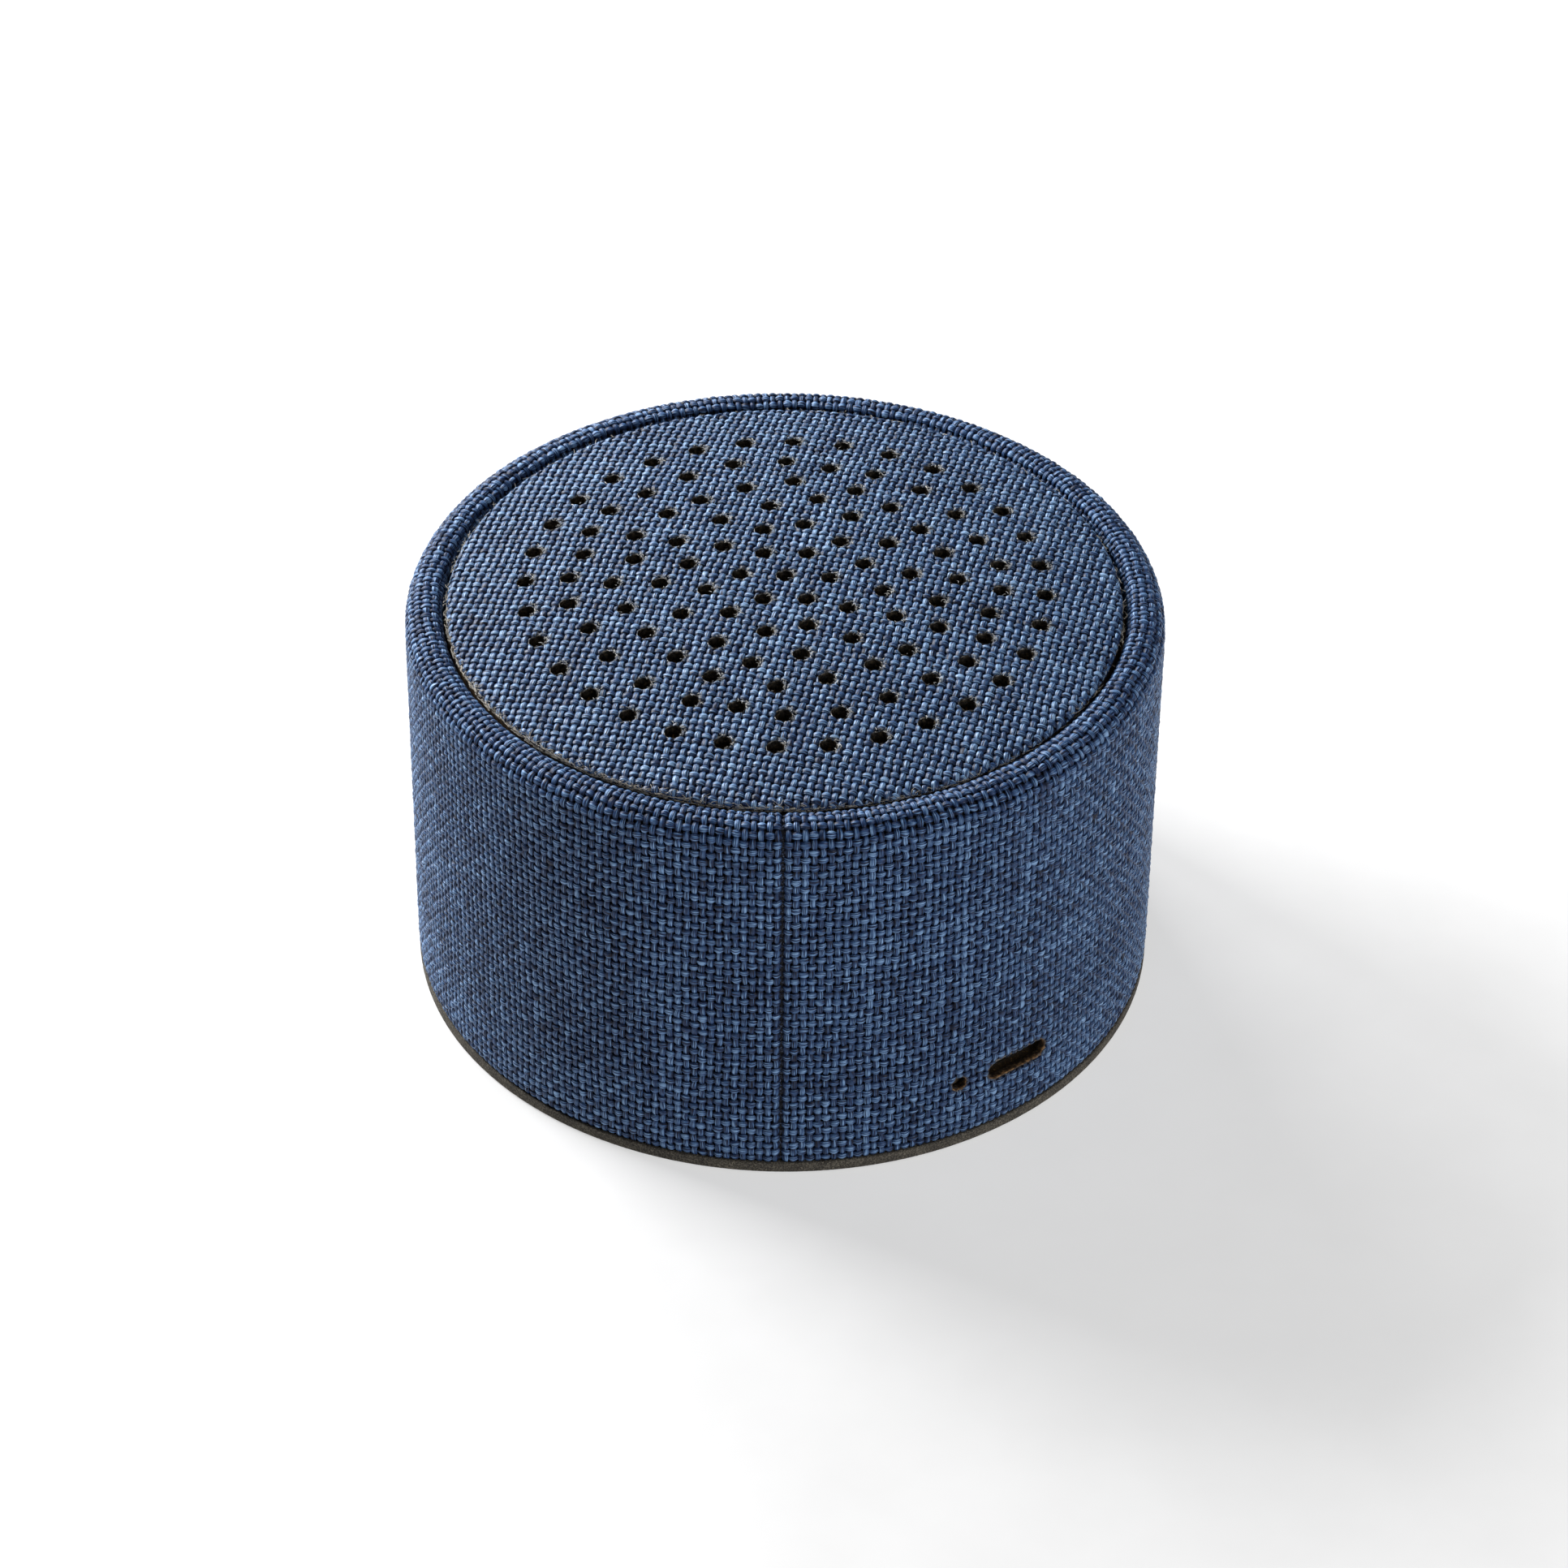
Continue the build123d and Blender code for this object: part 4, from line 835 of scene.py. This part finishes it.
def laminate():
    """The circuit board: green lacquer over copper tracks, with fine weave in the laminate."""
    s = Shader("board_laminate")
    where = s.place()
    tracks = s.node("TexBrick", {"offset": 0.37, "squash": 1.0}, Vector=where, Scale=420.0,
                    Mortar_Size=0.045, Mortar_Smooth=0.3, Brick_Width=0.9, Row_Height=0.31)
    weave = s.noise(2600.0, 2.0, at=where)
    green = s.ramp(weave, (0.35, (10, 52, 30)), (0.65, (20, 78, 44)))
    lit = s.ramp(weave, (0.35, (34, 104, 56)), (0.65, (48, 124, 70)))
    s.set(Base_Color=s.mix(tracks.outputs[1], green, lit))
    s.set(Roughness=s.span(weave, 0.28, 0.42), Coat_Weight=0.3)
    s.bump(s.sum((tracks.outputs[1], 1), (weave, 0.2)), 0.25, 0.00004)
    return s.material


def wall_board(name):
    """Laser-cut board: a dark brown resinous edge that goes golden where light reaches it."""
    s = Shader(name)
    streak = s.noise(4200.0, 3.0, 0.6, s.place((1, 1, 0.16)))
    s.set(Base_Color=s.ramp(streak, (0.32, (14, 11, 8)), (0.55, (48, 37, 24)), (0.75, (128, 98, 56))))
    s.set(Roughness=s.span(streak, 0.32, 0.54), Specular_IOR_Level=0.5, Coat_Weight=0.1)
    s.set(Specular_Tint=(1.0, 0.85, 0.6, 1.0))
    s.bump(streak, 0.5, 0.00005)
    return s.material


def foam_pad(name):
    """Dense dark foam: fine open cells over a mottled, slightly dusty face."""
    s = Shader(name)
    pores = s.cells(s.place(), 5200.0)
    cloud = s.noise(620.0, 4.0)
    dust = s.noise(4800.0, 2.0)
    tone = s.sum((pores, 0.5), (cloud, 0.45))
    colour = s.ramp(tone, (0.22, (30, 28, 26)), (0.45, (64, 60, 54)), (0.75, (104, 99, 89)))
    colour = s.mix(s.span(dust, 0.0, 0.6, 0.66, 0.72), colour, rgb((150, 140, 122)))
    s.set(Base_Color=colour, Roughness=s.span(cloud, 0.78, 0.95), Specular_IOR_Level=0.25)
    s.bump(s.math("ADD", pores, dust), 0.5, 0.00006)
    return s.material


BRUSHED = (1, 1, 14)
# The plain surfaces, by the record's slot: dark and light colour, roughness, grain size, and the rest that
# grained() takes.
GRAINS = {
    "bonding_tape": ((40, 37, 32), (76, 70, 60), (0.65, 0.85), 900, {}),
    "base_plastic": ((20, 20, 22), (38, 38, 42), (0.42, 0.62), 3600, dict(bump=0.35)),
    "screw_steel": ((120, 122, 126), (188, 190, 194), (0.22, 0.42), 1500,
                    dict(bump=0.12, metallic=1.0, stretch=BRUSHED)),
    "switch_plastic": ((14, 14, 16), (32, 32, 34), (0.45, 0.6), 2600, {}),
    "knob_plastic": ((150, 152, 156), (196, 198, 202), (0.35, 0.5), 2600, {}),
    "key_plastic": ((46, 60, 88), (66, 84, 116), (0.4, 0.55), 3000, dict(bump=0.2)),
    "plunger_plastic": ((120, 34, 28), (164, 54, 44), (0.35, 0.5), 2400, {}),
    "chip_plastic": ((16, 16, 17), (36, 36, 37), (0.5, 0.7), 3400, dict(bump=0.3)),
    "socket_steel": ((140, 142, 146), (204, 206, 210), (0.2, 0.38), 1600,
                     dict(bump=0.1, metallic=1.0, stretch=(14, 1, 1))),
    "insulator": ((12, 12, 13), (30, 30, 31), (0.35, 0.5), 2600, {}),
    "lamp_resin": ((206, 204, 190), (240, 238, 226), (0.15, 0.3), 900, dict(bump=0.1)),
    "pipe_acrylic": ((40, 34, 28), (92, 80, 66), (0.12, 0.3), 1500, dict(bump=0.15, coat=0.5)),
    "can_steel": ((150, 152, 156), (212, 214, 218), (0.2, 0.36), 1300,
                  dict(bump=0.1, metallic=1.0, stretch=(1, 12, 1))),
    "can_sleeve": ((18, 24, 44), (34, 44, 74), (0.25, 0.4), 1500, dict(bump=0.1)),
    "header_nylon": ((206, 198, 176), (238, 232, 214), (0.4, 0.55), 1800, {}),
    "foam_tape": ((34, 34, 35), (70, 70, 72), (0.8, 0.95), 1500, dict(bump=0.6, cells=2600.0)),
    "cell_pouch": ((146, 148, 150), (206, 208, 210), (0.3, 0.46), 480,
                   dict(bump=0.5, depth=0.00012, metallic=0.85)),
    "red_sheath": ((128, 16, 14), (176, 30, 24), (0.32, 0.48), 1400, dict(bump=0.15)),
    "black_sheath": ((12, 12, 13), (34, 34, 36), (0.32, 0.48), 1400, dict(bump=0.15)),
    "baffle_board": ((96, 70, 44), (146, 112, 76), (0.65, 0.85), 900, dict(bump=0.5, stretch=(1, 5, 1))),
    "basket_steel": ((26, 27, 29), (52, 53, 56), (0.34, 0.5), 2400, dict(bump=0.3, metallic=0.4)),
    "gasket_foam": ((20, 20, 21), (48, 48, 50), (0.8, 0.95), 1500, dict(bump=0.6, cells=2600.0)),
    "plate_steel": ((150, 146, 128), (206, 200, 178), (0.25, 0.4), 1200, dict(bump=0.15, metallic=1.0)),
    "ferrite": ((30, 31, 33), (62, 63, 66), (0.5, 0.75), 1500, dict(bump=0.45)),
    "former_foil": ((170, 172, 176), (222, 224, 226), (0.22, 0.36), 700, dict(bump=0.2, metallic=1.0)),
    "coil_copper": ((132, 66, 34), (196, 110, 62), (0.25, 0.38), 900,
                    dict(bump=0.7, depth=0.00006, metallic=1.0, stretch=(0.05, 0.05, 9))),
    "cone_paper": ((16, 16, 17), (44, 43, 42), (0.7, 0.9), 1100, dict(bump=0.5, stretch=(1, 3, 1))),
    "surround_rubber": ((12, 12, 13), (28, 28, 30), (0.4, 0.56), 1800, dict(bump=0.2)),
    "strip_phenolic": ((84, 50, 26), (126, 82, 46), (0.4, 0.6), 1500, {}),
    "tag_brass": ((160, 128, 62), (214, 182, 104), (0.22, 0.36), 1200, dict(bump=0.12, metallic=1.0)),
    "tinsel_copper": ((146, 80, 44), (206, 128, 78), (0.28, 0.42), 2200, dict(bump=0.7, metallic=1.0)),
}


def part_materials():
    """One material for each of the record's slots that a carried-over CAD node shows."""
    made = {name: grained(name, *row, **more) for name, (*row, more) in GRAINS.items()}
    made["fibreboard"] = wall_board("fibreboard")
    made["board_laminate"] = laminate()
    made["foot_foam"] = foam_pad("foot_foam")
    made["scrim_cloth"] = woven("scrim_cloth", (8, 8, 10), (30, 30, 34), 0.42)
    made["spider_cloth"] = woven("spider_cloth", (120, 84, 34), (184, 140, 72), 0.5)
    return made


def dress_cad(made):
    """Gives every carried-over CAD node its material, by the record's slot name."""
    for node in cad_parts.values():
        for slot in node.material_slots:
            name = slot.material.name.split(".")[0] if slot.material else ""
            if name in made:
                slot.material = made[name]


def foot_pad_piece(material):
    """The foam disc that the speaker stands on, with soft edges and the window for the controls."""
    spokes = 720
    turn = np.arange(spokes) * TAU / spokes
    dx, dy = np.cos(turn), np.sin(turn)
    # How far the window's outline and the rim are from the window's centre, in each direction.
    straight = PAD_WINDOW[0] / 2 - PAD_WINDOW[1] / 2
    end_r = PAD_WINDOW[1] / 2
    flat = end_r / np.maximum(np.abs(dy), 1e-6)
    end = straight * np.abs(dx) + np.sqrt(np.maximum(end_r ** 2 - (straight * dy) ** 2, 0))
    near = np.where(np.abs(dx) * flat < straight, flat, end)
    far = -PAD_WINDOW_Y * dy + np.sqrt(PAD_R ** 2 - (PAD_WINDOW_Y * dx) ** 2)
    # Each ring: its share of the way from the window to the rim, and its height.
    rings = [(u, 0.0) for u in np.linspace(0.004, 0.985, 30)]
    rings += [(0.993, 0.06), (0.998, 0.16), (1.0, 0.30)]
    rings += [(1.0, z) for z in np.linspace(0.45, PAD_T - 0.02, 6)]
    rings += [(0.99, PAD_T), (0.5, PAD_T), (0.01, PAD_T), (0.0, PAD_T - 0.1), (0.0, 0.7), (0.0, 0.1)]
    rng = np.random.default_rng(74)
    co = []
    for u, z in rings:
        rough = np.abs(0.012 * rng.standard_normal(spokes))
        r = near + (far - near) * u - rough * (u > 0.99)
        low = rough * 0.8 * (z < 0.01)
        co.append(np.stack([r * dx, PAD_WINDOW_Y + r * dy, z + low], axis=-1))
    faces = hoop_faces(len(rings) + 1, spokes) % (len(rings) * spokes)
    return mesh_piece("foot_foam_disc", np.concatenate(co), faces, material)


# ---- Moving soft parts of the driver ---------------------
def ring_sectors(name, line, thickness):
    """A ring of soft material between the basket and the cone, in sectors.

    line is the middle of its section, as (radius, height) points.
    """
    spokes = 8
    line = np.asarray(line)
    along = np.gradient(line, axis=0)
    normal = np.stack([-along[:, 1], along[:, 0]], axis=1)
    normal *= thickness / 2 / np.linalg.norm(normal, axis=1, keepdims=True)
    loop = np.concatenate([line + normal, (line - normal)[::-1]])
    pieces = []
    for q in range(RING_SECTORS):
        a = np.linspace(q, q + 1, spokes + 1) * TAU / RING_SECTORS
        co = np.stack([loop[None, :, 0] * np.cos(a)[:, None], loop[None, :, 0] * np.sin(a)[:, None],
                       np.broadcast_to(loop[None, :, 1], (spokes + 1, len(loop)))], axis=-1)
        faces = np.roll(hoop_faces(spokes + 1, len(loop))[:, ::-1], 1, axis=1)
        pieces.append(mesh_piece(f"{name}_{q + 1}", co.reshape(-1, 3), faces, part_looks[name], body=None))
        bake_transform(pieces[-1])
    return pieces


def surround_pieces():
    """The rubber half roll with its two glued lands."""
    z = SURROUND_Z + SURROUND_T / 2
    bend = np.linspace(math.pi, 0, 25)
    roll = np.stack([ROLL_AT + ROLL_R * np.cos(bend), z + ROLL_R * np.sin(bend)], axis=1)
    inner, outer = SURROUND_R
    line = [(inner, z), (inner + 0.6, z), *roll, (outer - 1.2, z), (outer, z)]
    return ring_sectors("surround_rubber", line, SURROUND_T)


def spider_pieces():
    """The corrugated cloth that centres the coil."""
    r = np.linspace(*SPIDER_R, 65)
    wave = SPIDER_WAVE * np.sin(TAU * SPIDER_WAVES * (r - SPIDER_R[0]) / (SPIDER_R[1] - SPIDER_R[0]))
    line = [*np.stack([r, SPIDER_Z + wave], axis=1), (17.6, SPIDER_Z), (SPIDER_RIM, SPIDER_Z)]
    return ring_sectors("spider_cloth", line, SPIDER_T)


def tinsel_pieces():
    """The two flexible leads, each of three twisted strands, from the terminal strip to the cone's back."""
    pieces = []
    knots = np.array(TINSEL_ROUTE)
    reach = np.linspace(0, len(knots) - 1, 64)
    x = np.interp(reach, np.arange(len(knots)), knots[:, 0])
    z = np.interp(reach, np.arange(len(knots)), knots[:, 1])
    x, z = [np.convolve(np.pad(v, 3, mode="edge"), np.ones(7) / 7, mode="valid") for v in (x, z)]
    twist = np.linspace(0, 9 * TAU, len(reach))
    lay, strand_r = 0.15, 0.14
    for number, y in enumerate((-TINSEL_Y, TINSEL_Y), 1):
        turns = [twist + k * TAU / 3 for k in range(3)]
        paths = np.stack([np.stack([x, y + lay * np.cos(t), z + lay * np.sin(t)], axis=1) for t in turns])
        co, faces = tubes(paths, np.full(paths.shape[:2], strand_r))
        piece = mesh_piece(f"tinsel_copper_{number}", co, faces, part_looks["tinsel_copper"], body=None)
        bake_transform(piece)
        pieces.append(piece)
    return pieces


# ---- Set -------------------------------------------------
SENSOR = 36.0
LENS = 119.09
ELEVATION = math.radians(37.96)
ROLL = math.radians(0.516)
DISTANCE = 0.588
TARGET = Vector((0.00003, 0, 0.02136))
AIM = Vector((0, 0, 0.03))
WORLD_LIGHT = 0.05
FLOOR_GLOW = 0.54           # the floor is partly its own light, so the shadow stays soft and pale
FLOOR_GREYS = (0.34, 0.38)
FLOOR_HALF = 3.0


def floor_piece():
    """A pale floor with the faintest mottle."""
    mesh = bpy.data.meshes.new("floor")
    corners = [(x * FLOOR_HALF, y * FLOOR_HALF, 0) for x, y in ((-1, -1), (1, -1), (1, 1), (-1, 1))]
    mesh.from_pydata(corners, [], [(0, 1, 2, 3)])
    s = Shader("floor_paper")
    mottle = s.noise(60.0, 3.0)
    s.set(Base_Color=s.span(mottle, *FLOOR_GREYS))
    s.set(Roughness=s.span(mottle, 0.85, 0.95), Specular_IOR_Level=0.1)
    s.set(Emission_Color=(1.0, 1.0, 1.0, 1.0), Emission_Strength=FLOOR_GLOW)
    mesh.materials.append(s.material)
    floor = put("floor", mesh)


def area_light(name, place, power, size):
    """A soft box that looks at the object's middle."""
    light = bpy.data.lights.new(name, "AREA")
    light.energy = power
    light.shape = "RECTANGLE"
    light.size, light.size_y = size
    lamp = put(name, light)
    lamp.location = place
    lamp.rotation_euler = (AIM - Vector(place)).to_track_quat("-Z", "Y").to_euler()


def set_camera():
    """The camera, square to the seam, looking down on it and a little rolled."""
    camera = bpy.data.cameras.new("camera")
    camera.sensor_width = SENSOR
    camera.lens = LENS
    eye = put("camera", camera)
    tilt = Matrix.Rotation(math.pi / 2 - ELEVATION, 4, "X") @ Matrix.Rotation(ROLL, 4, "Z")
    eye.matrix_world = Matrix.Translation(TARGET) @ tilt @ Matrix.Translation((0, 0, DISTANCE))
    bpy.context.scene.camera = eye


def set_light():
    """A soft key from the back left, with three weaker soft boxes round it."""
    world = bpy.data.worlds.new("world")
    world.use_nodes = True
    sky = world.node_tree.nodes["Background"]
    sky.inputs["Color"].default_value = (1, 1, 1, 1)
    sky.inputs["Strength"].default_value = WORLD_LIGHT
    bpy.context.scene.world = world
    bpy.context.scene.view_settings.view_transform = "Standard"
    area_light("key", (-0.39, 0.28, 0.33), 6.3, (0.22, 0.22))
    area_light("side", (0.53, -0.41, 0.17), 2.2, (0.26, 0.26))
    area_light("over", (-0.26, 0.56, 0.38), 3.6, (0.24, 0.16))
    area_light("front", (0.10, -0.14, 0.70), 0.85, (0.16, 0.16))


# ---- Build -----------------------------------------------
SIDE_STOPS = [(0.06, (5, 11, 31)), (0.36, (25, 45, 83)), (0.62, (54, 85, 128)), (0.94, (122, 155, 194))]
TOP_STOPS = [(0.06, (6, 13, 33)), (0.36, (27, 47, 84)), (0.62, (56, 87, 128)), (0.94, (130, 162, 196))]

set_camera()
floor_piece()
set_light()

part_looks = part_materials()
dress_cad(part_looks)

side_yarn = {kind: yarn_material(f"side_{kind}_yarn", SIDE_STOPS, 0.42, 0.22) for kind in ("warp", "weft")}
top_yarn = {kind: yarn_material(f"top_{kind}_yarn", TOP_STOPS, 0.36, 0.30) for kind in ("warp", "weft")}
# The sheet under the yarns is near-black painted shade for the gaps between them.
gap_shade_sheet = backing_material("backing_gap_shade")

side_cover = backing_side(gap_shade_sheet)
top_cover = backing_top(gap_shade_sheet)
side_yarns = weave_side(side_yarn)
top_yarns = weave_top(top_yarn)
edges = hole_edges(singed_material("singed_edge"))
openings = opening_edges(melted_material("melted_edge"))
fray = hole_fray(fibre_material("pale_fibre", (84, 88, 94), (216, 214, 206)))
fringe = lid_fringe(fibre_material("tan_fibre", (84, 80, 74), (208, 200, 184)))
seam = seam_fray(fibre_material("blue_fibre", (16, 24, 46), (86, 106, 146)))

pad = foot_pad_piece(part_looks["foot_foam"])

for pieces, look, node in (
    (surround_pieces(), "surround_rubber", "driver_surround"),
    (spider_pieces(), "spider_cloth", "driver_spider"),
    (tinsel_pieces(), "tinsel_copper", "tinsel_leads"),
):
    for piece in pieces:
        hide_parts(node)
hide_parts("foot_pad")
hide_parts("side_fabric")
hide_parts("top_fabric")
